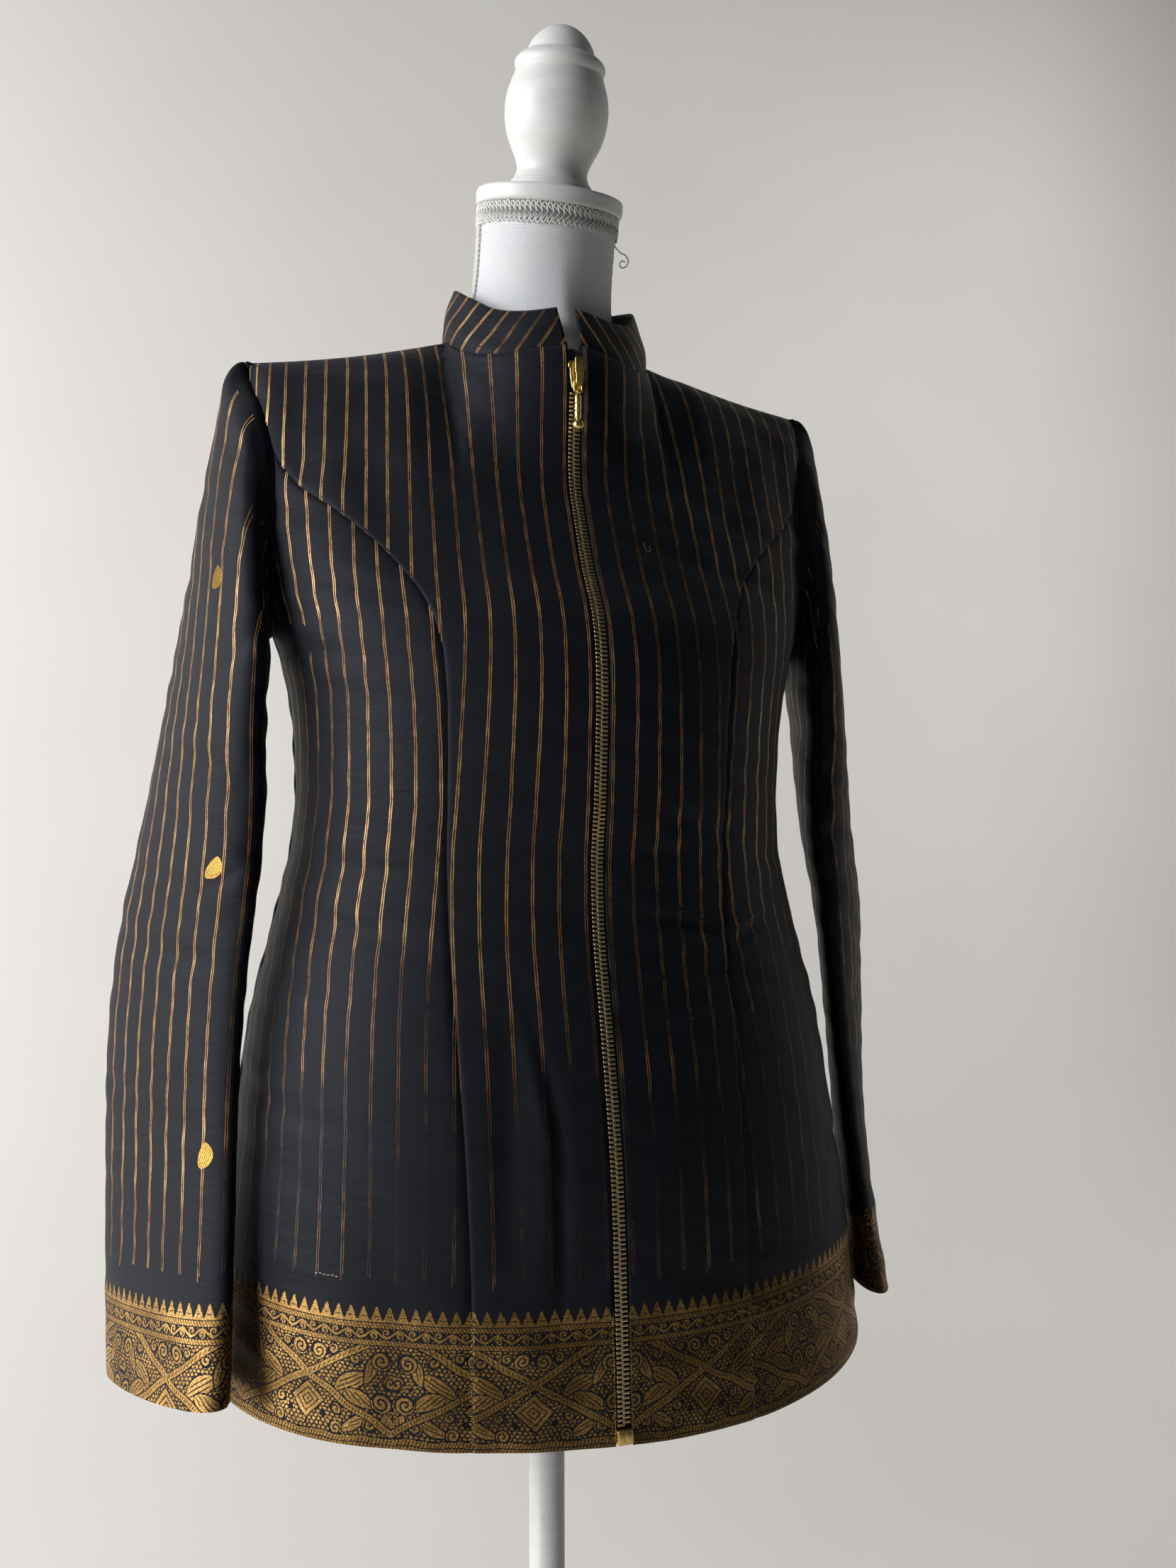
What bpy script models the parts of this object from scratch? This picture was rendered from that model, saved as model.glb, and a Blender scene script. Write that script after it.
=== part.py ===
# A fitted jacket with a stand collar and a full front zip, worn by a limbless dress form on a pole.
# The wearer faces -Y, the wearer's left is +X, and the base stands on z = 0.

import math

import bmesh
import bpy
import numpy as np
from mathutils import Matrix, Vector

# Driving sizes in metres
HEM_HEIGHT = 0.77
CLOTH = 0.0016
SEAM_GAP = 0.0003
TOUCH_GAP = 0.0003

CHEST_HEIGHT = 0.50
TOP_HEIGHT = 0.60
UNDERARM_HEIGHT = 0.425
SHOULDER_HALF = 0.177
SHOULDER_Y = 0.010
SHOULDER_Z = 0.586
NECKLINE_HALF = 0.064
NECKLINE_FRONT = 0.064
NECKLINE_BACK = 0.056
COLLAR_TOP_HALF = 0.0565
COLLAR_TOP_FRONT = 0.0545
COLLAR_TOP_BACK = 0.0545
HEM_LIFT = 0.0105
HEM_LIFT_TOP = 0.32

ZIP_OPENING_HALF = 0.0052
ZIP_TAPE_HALF = 0.0130
ZIP_TAPE_THICK = 0.0007
ZIP_CHAIN_HALF = 0.0029
ZIP_CHAIN_THICK = 0.0019
ZIP_TOP = 0.598
BOTTOM_BOX_HEIGHT = 0.0075

NECK_RADIUS = 0.042
NECK_TOP_Z = 0.690
NECK_TOP_Y = -0.0095
NECK_RUN = 0.024
NECK_LEAN = math.radians(18.0)
DISC_Y = -0.0115
DISC_RADIUS = 0.045
DISC_THICK = 0.0095
BRAID_HEIGHT = 0.0085
BRAID_THICK = 0.0018
SIDE_BRAID_WIDTH = 0.0085
FORM_BOTTOM = 0.030
POLE_RADIUS = 0.011
FLANGE_RADIUS = 0.045
BASE_RADIUS = 0.170
BASE_THICK = 0.018

# Plan sections of the jacket body, heights above the hem.
# Columns: height, half width, y of the widest point, y of the front, y of the back, roundness
BODY_ROWS = (
    (0.00, 0.202, 0.020, -0.1430, 0.148, 2.30),
    (0.07, 0.195, 0.020, -0.1385, 0.144, 2.30),
    (0.14, 0.185, 0.020, -0.1320, 0.136, 2.30),
    (0.20, 0.177, 0.020, -0.1190, 0.122, 2.30),
    (0.26, 0.163, 0.018, -0.1040, 0.104, 2.25),
    (0.30, 0.154, 0.016, -0.1020, 0.094, 2.25),
    (0.33, 0.151, 0.015, -0.1070, 0.091, 2.25),
    (0.37, 0.152, 0.014, -0.1105, 0.096, 2.25),
    (0.40, 0.156, 0.012, -0.1110, 0.102, 2.25),
    (0.43, 0.164, 0.010, -0.1045, 0.106, 2.25),
    (0.46, 0.171, 0.010, -0.0860, 0.107, 2.30),
    (0.50, 0.177, 0.010, -0.0670, 0.102, 2.30),
)

# Height of the neckline seam by angle from the centre front
# Columns: angle in degrees, height above the hem
NECKLINE_ROWS = (
    (0.0, 0.5910),
    (20.0, 0.5880),
    (40.0, 0.5860),
    (62.0, 0.5920),
    (90.0, 0.6070),
    (135.0, 0.6170),
    (180.0, 0.6210),
)

# Princess seam of the front, from the hem to the armhole
# Columns: height above the hem, distance from the centre front
PRINCESS_ROWS = (
    (0.00, 0.0770),
    (0.07, 0.0760),
    (0.14, 0.0770),
    (0.22, 0.0790),
    (0.30, 0.0800),
    (0.38, 0.0810),
    (0.41, 0.0830),
)

# Upper curve of the princess seam, over the bust and into the armhole
# Columns: height above the hem, distance from the centre front
PRINCESS_CURVE_ROWS = (
    (0.410, 0.0830),
    (0.430, 0.0880),
    (0.450, 0.0970),
    (0.470, 0.1120),
    (0.490, 0.1330),
    (0.506, 0.1520),
)

# Sections of a sleeve, wearer's left side
# Columns: height, centre x, centre y, half depth, half thickness, turn in degrees, tilt of the section
SLEEVE_ROWS = (
    (0.400, 0.1946, 0.0125, 0.0577, 0.0174, 21.5, 0.00),
    (0.370, 0.1983, 0.0134, 0.0575, 0.0176, 24.0, 0.00),
    (0.340, 0.2010, 0.0138, 0.0579, 0.0180, 27.5, 0.00),
    (0.300, 0.2062, 0.0142, 0.0592, 0.0169, 32.0, 0.03),
    (0.260, 0.2130, 0.0138, 0.0602, 0.0150, 34.5, 0.06),
    (0.220, 0.2178, 0.0118, 0.0604, 0.0138, 35.5, 0.09),
    (0.180, 0.2204, 0.0070, 0.0600, 0.0135, 35.5, 0.12),
    (0.140, 0.2214, 0.0000, 0.0600, 0.0128, 34.5, 0.13),
    (0.100, 0.2218, -0.0100, 0.0597, 0.0128, 33.5, 0.13),
    (0.060, 0.2222, -0.0220, 0.0590, 0.0136, 32.0, 0.13),
    (0.018, 0.2221, -0.0360, 0.0580, 0.0155, 29.5, 0.13),
)

# Folds of the sleeves, soft troughs across the bend of the elbow and near the underarm
# Columns: side, height, angle in degrees, half height, half angle in degrees, depth, slope
SLEEVE_FOLDS = (
    (-1, 0.335, 20.0, 0.010, 30.0, 0.0022, 0.05),
    (-1, 0.300, 5.0, 0.009, 34.0, 0.0026, -0.04),
    (-1, 0.262, 25.0, 0.011, 28.0, 0.0018, 0.06),
    (-1, 0.318, 190.0, 0.012, 30.0, 0.0016, 0.03),
    (-1, 0.385, 300.0, 0.012, 34.0, 0.0020, 0.04),
    (1, 0.345, 12.0, 0.011, 32.0, 0.0024, -0.05),
    (1, 0.306, 18.0, 0.009, 30.0, 0.0022, 0.05),
    (1, 0.270, 350.0, 0.010, 30.0, 0.0019, -0.03),
    (1, 0.300, 185.0, 0.012, 30.0, 0.0018, 0.02),
    (1, 0.378, 295.0, 0.012, 34.0, 0.0018, -0.04),
)

# Folds of the body: soft hollows and ridges, depth positive inwards
# Columns: side, face, across from 0 centre to 1 side, height, half across, half height, depth
BODY_FOLDS = (
    (-1, "front", 0.62, 0.535, 0.10, 0.036, 0.0022),
    (-1, "front", 0.30, 0.525, 0.10, 0.040, -0.0012),
    (1, "front", 0.60, 0.530, 0.09, 0.036, 0.0018),
    (-1, "front", 0.16, 0.145, 0.035, 0.075, 0.0022),
    (1, "front", 0.22, 0.265, 0.10, 0.012, 0.0012),
    (1, "front", 0.24, 0.225, 0.10, 0.011, 0.0012),
    (-1, "back", 0.55, 0.320, 0.16, 0.014, 0.0018),
    (1, "back", 0.50, 0.296, 0.16, 0.014, 0.0020),
    (-1, "back", 0.84, 0.450, 0.06, 0.050, 0.0028),
    (1, "back", 0.84, 0.446, 0.06, 0.050, 0.0026),
)

# Turned profile of the finial
# Columns: distance up its axis, radius
FINIAL_ROWS = (
    (0.0000, 0.0278),
    (0.0055, 0.0270),
    (0.0085, 0.0230),
    (0.0125, 0.0216),
    (0.0220, 0.0252),
    (0.0300, 0.0290),
    (0.0470, 0.0312),
    (0.0630, 0.0268),
    (0.0680, 0.0258),
    (0.0705, 0.0264),
    (0.0730, 0.0256),
    (0.0745, 0.0236),
    (0.0775, 0.0204),
    (0.0800, 0.0188),
    (0.0855, 0.0150),
    (0.0895, 0.0100),
    (0.0920, 0.0046),
)

# Zip slider and pull, in metres
SLIDER_TOP = 0.5885
SLIDER_LENGTH = 0.0175
SLIDER_PLATE = 0.0016
PIVOT_PROUD = 0.0036
WIRE_RADIUS = 0.0005
LINK_HALF_WIDTH = 0.0022
LINK_LENGTH = 0.0062
EYE_RADIUS = 0.0014
BAR_LENGTH = 0.0150
BAR_HALF_WIDTH = 0.0020
BALL_RADIUS = 0.0034


def clear_scene():
    for item in list(bpy.data.objects):
        bpy.data.objects.remove(item, do_unlink=True)
    for group in list(bpy.data.collections):
        bpy.data.collections.remove(group)


def new_collection(name):
    group = bpy.data.collections.new(name)
    bpy.context.scene.collection.children.link(group)
    return group


def make_material(name, colour, roughness, metallic=0.0):
    material = bpy.data.materials.new(name)
    material.use_nodes = True
    shader = material.node_tree.nodes["Principled BSDF"]
    shader.inputs["Base Color"].default_value = (*colour, 1.0)
    shader.inputs["Roughness"].default_value = roughness
    shader.inputs["Metallic"].default_value = metallic
    return material


# Smooth interpolation of a table by its first column
def table_value(rows, where):
    keys = [row[0] for row in rows]
    if keys[0] > keys[-1]:
        rows = rows[::-1]
        keys = keys[::-1]
    where = min(max(where, keys[0]), keys[-1])
    last = len(rows) - 1
    index = 0
    while index < last - 1 and where > keys[index + 1]:
        index += 1
    before = rows[max(index - 1, 0)]
    start = rows[index]
    end = rows[index + 1]
    after = rows[min(index + 2, last)]
    span = end[0] - start[0]
    step = (where - start[0]) / span
    values = []
    for column in range(1, len(start)):
        slope_start = (end[column] - before[column]) / (end[0] - before[0]) * span
        slope_end = (after[column] - start[column]) / (after[0] - start[0]) * span
        values.append(hermite(start[column], slope_start, end[column], slope_end, step))
    return values


def hermite(start, slope_start, end, slope_end, step):
    square = step * step
    cube = square * step
    return (
        (2 * cube - 3 * square + 1) * start
        + (cube - 2 * square + step) * slope_start
        + (3 * square - 2 * cube) * end
        + (cube - square) * slope_end
    )


def bump(distance, half):
    return math.exp(-1.5 * (distance / half) ** 2)


# The body surface runs from the centre (across 0) to the side (across 1) and from the hem up.
# ease draws the surface inwards, and gives the dress form its smaller sections.
def section_point(across, height, face, ease=(0.0, 0.0, 0.0)):
    half_width, side_y, front_y, back_y, roundness = table_value(BODY_ROWS, height)
    side_ease, front_ease, back_ease = ease
    edge_y = front_y + front_ease if face == "front" else back_y - back_ease
    turn = across * math.pi / 2
    x = (half_width - side_ease) * math.sin(turn) ** (2 / roundness)
    y = side_y + (edge_y - side_y) * max(math.cos(turn), 0.0) ** (2 / roundness)
    return Vector((x, y, height))


def across_of_x(x, height):
    half_width = table_value(BODY_ROWS, min(height, CHEST_HEIGHT))[0]
    roundness = table_value(BODY_ROWS, min(height, CHEST_HEIGHT))[4]
    share = min(max(x / half_width, 0.0), 1.0)
    return math.asin(share ** (roundness / 2)) / (math.pi / 2)


def neckline_point(angle, face_back_half, shrink=0.0, drop=0.0):
    turn = math.radians(angle)
    depth = NECKLINE_FRONT if angle <= 90 else face_back_half
    x = (NECKLINE_HALF - shrink) * math.sin(turn)
    y = -(depth - shrink) * math.cos(turn)
    return Vector((x, y, table_value(NECKLINE_ROWS, angle)[0] - drop))


def shoulder_point(x, drop=0.0):
    share = (x - NECKLINE_HALF) / (SHOULDER_HALF - NECKLINE_HALF)
    side_z = table_value(NECKLINE_ROWS, 90.0)[0]
    rise = 0.0025 * math.sin(math.pi * min(max(share, 0.0), 1.0))
    z = side_z + (SHOULDER_Z - side_z) * share - rise
    return Vector((x, SHOULDER_Y * share, z - drop * (1.0 + 3.6 * max(share, 0.0))))


def top_point(x, face, shrink=0.0, drop=0.0):
    reach = NECKLINE_HALF - shrink
    if x < reach:
        angle = math.degrees(math.asin(x / reach))
        if face == "back":
            angle = 180.0 - angle
        return neckline_point(angle, NECKLINE_BACK, shrink, drop)
    return shoulder_point(x, drop)


def body_point(across, height, face, ease=(0.0, 0.0, 0.0), shrink=0.0, drop=0.0):
    if height <= CHEST_HEIGHT:
        return section_point(across, height, face, ease)
    start = section_point(across, CHEST_HEIGHT, face, ease)
    below = section_point(across, CHEST_HEIGHT - 0.01, face, ease)
    end = top_point(start.x, face, shrink, drop)
    length = (end - start).length
    leave = (start - below).normalized()
    leave.x = 0.0
    sign = 1.0 if face == "front" else -1.0
    neck_share = 1.0 - min(max((start.x - 0.045) / 0.045, 0.0), 1.0)
    arrive_shoulder = Vector((0.0, 0.97 * sign, 0.24))
    arrive_neck = Vector((0.0, 0.22 * sign, 0.97))
    side_share = min(max((across - 0.80) / 0.20, 0.0), 1.0)
    arrive = arrive_shoulder.lerp(arrive_neck, neck_share)
    arrive = arrive.lerp(Vector((0.0, 0.3 * sign, 0.95)), side_share)
    step = (height - CHEST_HEIGHT) / (TOP_HEIGHT - CHEST_HEIGHT)
    point = Vector((0.0, 0.0, 0.0))
    for axis in range(3):
        point[axis] = hermite(start[axis], leave[axis] * length, end[axis], arrive[axis] * length, step)
    point.x = start.x
    return point


def body_normal(across, height, face):
    small = 0.004
    low_across = max(across - small, 0.0)
    high_across = min(across + small, 1.0)
    low_height = max(height - small, 0.0)
    high_height = min(height + small, TOP_HEIGHT)
    side_way = body_point(high_across, height, face) - body_point(low_across, height, face)
    up_way = body_point(across, high_height, face) - body_point(across, low_height, face)
    normal = side_way.cross(up_way)
    if face == "back":
        normal = -normal
    if across < 1.5 * small:
        normal.x = 0.0
    on_shoulder = height > TOP_HEIGHT - small and body_point(across, height, face).x >= NECKLINE_HALF - small
    if across > 1.0 - 1.5 * small or on_shoulder:
        normal.y = 0.0
    return normal.normalized()


def fold_depth(side, face, across, height):
    depth = 0.0
    for row_side, row_face, row_across, row_height, half_across, half_height, row_depth in BODY_FOLDS:
        if row_side == side and row_face == face:
            depth += row_depth * bump(across - row_across, half_across) * bump(height - row_height, half_height)
    return depth


# The hem hangs a little higher on the wearer's right
def hem_lift(x, height):
    share = min(max((0.08 - x) / 0.21, 0.0), 1.0)
    fade = max(1.0 - height / HEM_LIFT_TOP, 0.0) ** 1.4
    return HEM_LIFT * share * share * (3 - 2 * share) * fade


# A point of the jacket body, moved inwards by its folds and by inset, raised to the standing height
def jacket_point(side, face, across, height, inset=0.0):
    point = body_point(across, height, face)
    shift = inset + fold_depth(side, face, across, height)
    if shift != 0.0:
        point = point - body_normal(across, height, face) * shift
    x = side * point.x
    return Vector((x, point.y, point.z + HEM_HEIGHT + hem_lift(x, height)))


# The armhole goes round by angle: 90 at the shoulder tip, 0 at the front, 180 at the back, 270 below
def armhole_place(angle):
    turn = math.radians(angle)
    middle = (TOP_HEIGHT + UNDERARM_HEIGHT) / 2
    half = (TOP_HEIGHT - UNDERARM_HEIGHT) / 2
    height = middle + half * math.sin(turn)
    power = 3.0 if math.sin(turn) > 0 else 1.3
    across = 1.0 - 0.26 * abs(math.cos(turn)) ** power
    face = "front" if math.cos(turn) >= 0 else "back"
    return across, height, face


# Where the armhole edges of the panels and of the sleeve have their points, so that the edges match
ARMHOLE_ROOM = 0.003
PRINCESS_ARMHOLE_ANGLE = 8.0
FRONT_SEAM_ANGLE = -14.0
BACK_SEAM_ANGLE = 196.0
FRONT_UPPER_ANGLES = (90.0, 70.0, 50.0, 30.0, PRINCESS_ARMHOLE_ANGLE)
FRONT_LOWER_ANGLES = (PRINCESS_ARMHOLE_ANGLE, -3.0, FRONT_SEAM_ANGLE, -25.0, -36.0, -47.0, -58.0, -74.0, -90.0)
BACK_TOP_ANGLES = (90.0, 106.0, 122.0, 138.0, 152.0, 164.0, 178.0, BACK_SEAM_ANGLE)
BACK_LOW_ANGLES = (BACK_SEAM_ANGLE, 216.0, 234.0, 252.0, 270.0)
BACK_ANGLES = BACK_TOP_ANGLES + BACK_LOW_ANGLES[1:]
TOP_SLEEVE_ANGLES = tuple(sorted(FRONT_LOWER_ANGLES[1:3] + FRONT_UPPER_ANGLES + BACK_TOP_ANGLES[1:]))
UNDER_SLEEVE_ANGLES = BACK_LOW_ANGLES + tuple(360.0 + angle for angle in FRONT_LOWER_ANGLES[-2:1:-1])


def princess_point(share):
    across, height, face = armhole_place(PRINCESS_ARMHOLE_ANGLE)
    knots = []
    for row_height, x in PRINCESS_CURVE_ROWS:
        knots.append((across_of_x(x, row_height), row_height))
    knots.append((across, height))
    rows = [(index / (len(knots) - 1), *knot) for index, knot in enumerate(knots)]
    return table_value(rows, share)


def princess_across(height):
    return across_of_x(table_value(PRINCESS_ROWS, height)[0], height)


# A grid of places (across, height) filled from its four edges
def fill_places(bottom, top, left, right):
    columns = len(bottom)
    rows = len(left)
    bottom = np.array(bottom)
    top = np.array(top)
    left = np.array(left)
    right = np.array(right)
    grid = np.zeros((rows, columns, 2))
    for row in range(rows):
        up = row / (rows - 1)
        for column in range(columns):
            over = column / (columns - 1)
            edges = (1 - up) * bottom[column] + up * top[column]
            edges = edges + (1 - over) * left[row] + over * right[row]
            corners = (1 - over) * ((1 - up) * bottom[0] + up * top[0])
            corners = corners + over * ((1 - up) * bottom[-1] + up * top[-1])
            grid[row, column] = edges - corners
    return grid


def straight_rows(heights, left_across, right_across, columns):
    grid = np.zeros((len(heights), columns, 2))
    for row, height in enumerate(heights):
        start = left_across(height)
        end = right_across(height)
        for column in range(columns):
            share = column / (columns - 1)
            grid[row, column] = (start + (end - start) * share, height)
    return grid


# Half a seam gap, as a change of across at the given place
def across_gap(across, height, face, gap=SEAM_GAP / 2):
    step = 0.01
    low = max(across - step, 0.0)
    high = min(across + step, 1.0)
    width = (body_point(high, height, face) - body_point(low, height, face)).length
    return gap * (high - low) / max(width, 1e-6)


LOWER_TOP = PRINCESS_ROWS[-1][0]
LOWER_HEIGHTS = (0.0, 0.04, 0.08, 0.12, 0.16, 0.20, 0.235, 0.27, 0.30, 0.335, 0.37, 0.41)
UPPER_STEPS = 10
NECKLINE_STEP = 15.0


def upper_height(row):
    return LOWER_TOP + (TOP_HEIGHT - LOWER_TOP) * row / UPPER_STEPS


def neckline_angles():
    count = int(90.0 / NECKLINE_STEP)
    return [NECKLINE_STEP * (index + 1) for index in range(count)]


def centre_front_places():
    columns = 9 + len(FRONT_UPPER_ANGLES)

    def left(height):
        return across_of_x(ZIP_OPENING_HALF, height)

    def right(height):
        across = princess_across(height)
        return across - across_gap(across, height, "front")

    lower = straight_rows(LOWER_HEIGHTS, left, right, columns)
    rows = UPPER_STEPS + 1
    top_edge = [(across_of_x(ZIP_OPENING_HALF, CHEST_HEIGHT), TOP_HEIGHT)]
    for angle in neckline_angles():
        x = NECKLINE_HALF * math.sin(math.radians(angle))
        top_edge.append((across_of_x(x, CHEST_HEIGHT), TOP_HEIGHT - SEAM_GAP / 2))
    for share in (0.33, 0.66):
        x = NECKLINE_HALF + (SHOULDER_HALF - NECKLINE_HALF) * share
        top_edge.append((across_of_x(x, CHEST_HEIGHT), TOP_HEIGHT - SEAM_GAP / 2))
    for angle in FRONT_UPPER_ANGLES:
        across, height, face = armhole_place(angle)
        top_edge.append((across - ARMHOLE_ROOM, min(height, TOP_HEIGHT - SEAM_GAP / 2)))
    bottom_edge = [tuple(place) for place in lower[-1]]
    left_edge = []
    right_edge = []
    for row in range(rows):
        share = row / (rows - 1)
        height = upper_height(row)
        left_edge.append((across_of_x(ZIP_OPENING_HALF, min(height, CHEST_HEIGHT)), height))
        across, seam_height = princess_point(share)
        right_edge.append((across - across_gap(across, seam_height, "front"), seam_height + SEAM_GAP / 2))
    right_edge[0] = bottom_edge[-1]
    right_edge[-1] = top_edge[-1]
    left_edge[0] = bottom_edge[0]
    upper = fill_places(bottom_edge, top_edge, left_edge, right_edge)
    return np.concatenate([lower, upper[1:]], axis=0)


def side_front_places():
    columns = len(FRONT_LOWER_ANGLES)

    def left(height):
        across = princess_across(height)
        return across + across_gap(across, height, "front")

    def right(height):
        return 1.0 - across_gap(1.0, height, "front")

    lower = straight_rows(LOWER_HEIGHTS, left, right, columns)
    rows = UPPER_STEPS + 1
    bottom_edge = [tuple(place) for place in lower[-1]]
    top_edge = []
    for angle in FRONT_LOWER_ANGLES:
        across, height, face = armhole_place(angle)
        top_edge.append((across - ARMHOLE_ROOM, height - 0.0004))
    left_edge = []
    right_edge = []
    for row in range(rows):
        share = row / (rows - 1)
        across, seam_height = princess_point(share)
        left_edge.append((across + across_gap(across, seam_height, "front"), seam_height - SEAM_GAP / 2))
        height = LOWER_TOP + (top_edge[-1][1] - LOWER_TOP) * share
        right_edge.append((1.0 - across_gap(1.0, height, "front"), height))
    left_edge[0] = bottom_edge[0]
    left_edge[-1] = (left_edge[-1][0] - ARMHOLE_ROOM, left_edge[-1][1] - 0.0004)
    top_edge[0] = left_edge[-1]
    top_edge[-1] = right_edge[-1]
    upper = fill_places(bottom_edge, top_edge, left_edge, right_edge)
    return np.concatenate([lower, upper[1:]], axis=0)


def back_places():
    columns = 9 + len(BACK_ANGLES)

    def left(height):
        return across_gap(0.0, height, "back")

    def right(height):
        return 1.0 - across_gap(1.0, height, "back")

    lower = straight_rows(LOWER_HEIGHTS, left, right, columns)
    rows = UPPER_STEPS + 1
    bottom_edge = [tuple(place) for place in lower[-1]]
    centre = across_gap(0.0, CHEST_HEIGHT, "back")
    top_edge = [(centre, TOP_HEIGHT)]
    for angle in neckline_angles():
        x = NECKLINE_HALF * math.sin(math.radians(angle))
        top_edge.append((across_of_x(x, CHEST_HEIGHT), TOP_HEIGHT - SEAM_GAP / 2))
    for share in (0.33, 0.66):
        x = NECKLINE_HALF + (SHOULDER_HALF - NECKLINE_HALF) * share
        top_edge.append((across_of_x(x, CHEST_HEIGHT), TOP_HEIGHT - SEAM_GAP / 2))
    for angle in BACK_ANGLES:
        across, height, face = armhole_place(angle)
        top_edge.append((across - ARMHOLE_ROOM, min(height - 0.0004, TOP_HEIGHT - SEAM_GAP / 2)))
    left_edge = []
    right_edge = []
    for row in range(rows):
        share = row / (rows - 1)
        height = upper_height(row)
        left_edge.append((across_gap(0.0, min(height, CHEST_HEIGHT), "back"), height))
        height = LOWER_TOP + (top_edge[-1][1] - LOWER_TOP) * share
        right_edge.append((1.0 - across_gap(1.0, height, "back"), height))
    left_edge[0] = bottom_edge[0]
    left_edge[-1] = top_edge[0]
    top_edge[-1] = right_edge[-1]
    upper = fill_places(bottom_edge, top_edge, left_edge, right_edge)
    return np.concatenate([lower, upper[1:]], axis=0)


# A wall between an outer and an inner grid of points, closed along its edges
def wall_object(name, outer, inner, material, group, flip=False, closed=False):
    rows = len(outer)
    columns = len(outer[0])
    total = rows * columns
    vertices = [tuple(point) for row in outer for point in row]
    vertices += [tuple(point) for row in inner for point in row]
    faces = []
    across_steps = columns if closed else columns - 1
    for row in range(rows - 1):
        for column in range(across_steps):
            after = (column + 1) % columns
            low = row * columns
            high = low + columns
            face = (low + column, low + after, high + after, high + column)
            faces.append(face)
            faces.append(tuple(index + total for index in face[::-1]))
    last = (rows - 1) * columns
    for column in range(across_steps):
        after = (column + 1) % columns
        faces.append((column + total, after + total, after, column))
        faces.append((last + column, last + after, last + after + total, last + column + total))
    if not closed:
        end = columns - 1
        for row in range(rows - 1):
            low = row * columns
            high = low + columns
            faces.append((low, high, high + total, low + total))
            faces.append((high + end, low + end, low + end + total, high + end + total))
    if flip:
        faces = [face[::-1] for face in faces]
    mesh = bpy.data.meshes.new(name)
    mesh.from_pydata(vertices, [], faces)
    mesh.materials.append(material)
    mesh.shade_smooth()
    item = bpy.data.objects.new(name, mesh)
    group.objects.link(item)
    return item


def make_panel(name, side, face, places, material, group):
    layers = []
    for inset in (0.0, CLOTH):
        layers.append([[jacket_point(side, face, across, height, inset) for across, height in row] for row in places])
    mirrored = (side < 0) != (face == "back")
    return wall_object(name, layers[0], layers[1], material, group, flip=mirrored)


def make_body(material, group):
    for side, mark in ((-1, "right"), (1, "left")):
        make_panel("centre_front_" + mark, side, "front", centre_front_places(), material, group)
        make_panel("side_front_" + mark, side, "front", side_front_places(), material, group)
        make_panel("back_" + mark, side, "back", back_places(), material, group)


# The forearm of the wearer's left sleeve hangs further back and flatter than the right one
LEFT_FOREARM_TOP = 0.26
LEFT_FOREARM_IN = 0.0100
LEFT_FOREARM_BACK = 0.0200
LEFT_FOREARM_TURN = 10.0
LEFT_FOREARM_FLAT = 0.30


def sleeve_section_point(side, height, angle):
    centre_x, centre_y, half_depth, half_thick, turn, tilt = table_value(SLEEVE_ROWS, height)
    if side > 0 and height < LEFT_FOREARM_TOP:
        share = (LEFT_FOREARM_TOP - height) / LEFT_FOREARM_TOP
        centre_x -= LEFT_FOREARM_IN * share
        centre_y += LEFT_FOREARM_BACK * share
        half_thick *= 1.0 - LEFT_FOREARM_FLAT * share
        turn -= LEFT_FOREARM_TURN * share
    bend = math.radians(turn)
    roundness = 2.2
    along = math.cos(math.radians(angle))
    out = math.sin(math.radians(angle))
    along = half_depth * math.copysign(abs(along) ** (2 / roundness), along)
    out = half_thick * math.copysign(abs(out) ** (2 / roundness), out)
    x = centre_x - along * math.sin(bend) + out * math.cos(bend)
    y = centre_y - along * math.cos(bend) - out * math.sin(bend)
    return Vector((x, y, height + tilt * along))


def sleeve_fold_depth(side, height, angle):
    depth = 0.0
    for row_side, row_height, row_angle, half_height, half_angle, row_depth, slope in SLEEVE_FOLDS:
        if row_side == side:
            turn = (angle - row_angle + 180.0) % 360.0 - 180.0
            middle = row_height + slope * math.radians(turn) * 0.1
            depth += row_depth * bump(height - middle, half_height) * bump(turn, half_angle)
    return depth


SLEEVE_CAP_END = 0.400
SLEEVE_SIDE_GAP = 0.0008


def sleeve_cap_point(angle, share):
    across, height, face = armhole_place(angle)
    start = body_point(min(across + ARMHOLE_ROOM, 1.0), min(height, TOP_HEIGHT), face)
    upward = math.sin(math.radians(angle))
    start = start + Vector((SLEEVE_SIDE_GAP, 0.0, 0.0005 * max(-upward, 0.0)))
    end = sleeve_section_point(-1, SLEEVE_CAP_END, angle)
    below = sleeve_section_point(-1, SLEEVE_CAP_END - 0.02, angle)
    length = (end - start).length
    leave = Vector((0.044 + 0.016 * upward, 0.0, 0.022 * max(upward, 0.0)))
    if upward < 0:
        leave = leave * (0.55 + 0.45 * (1.0 + upward))
    arrive = (below - end).normalized() * length
    point = Vector((0.0, 0.0, 0.0))
    for axis in range(3):
        point[axis] = hermite(start[axis], leave[axis], end[axis], arrive[axis], share)
    return point


CAP_SHARES = (0.0, 0.07, 0.16, 0.28, 0.42, 0.58, 0.78)
SLEEVE_HEIGHTS = (
    0.400, 0.370, 0.345, 0.322, 0.300, 0.278, 0.255, 0.220, 0.175, 0.120, 0.065, 0.018,
)


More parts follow.
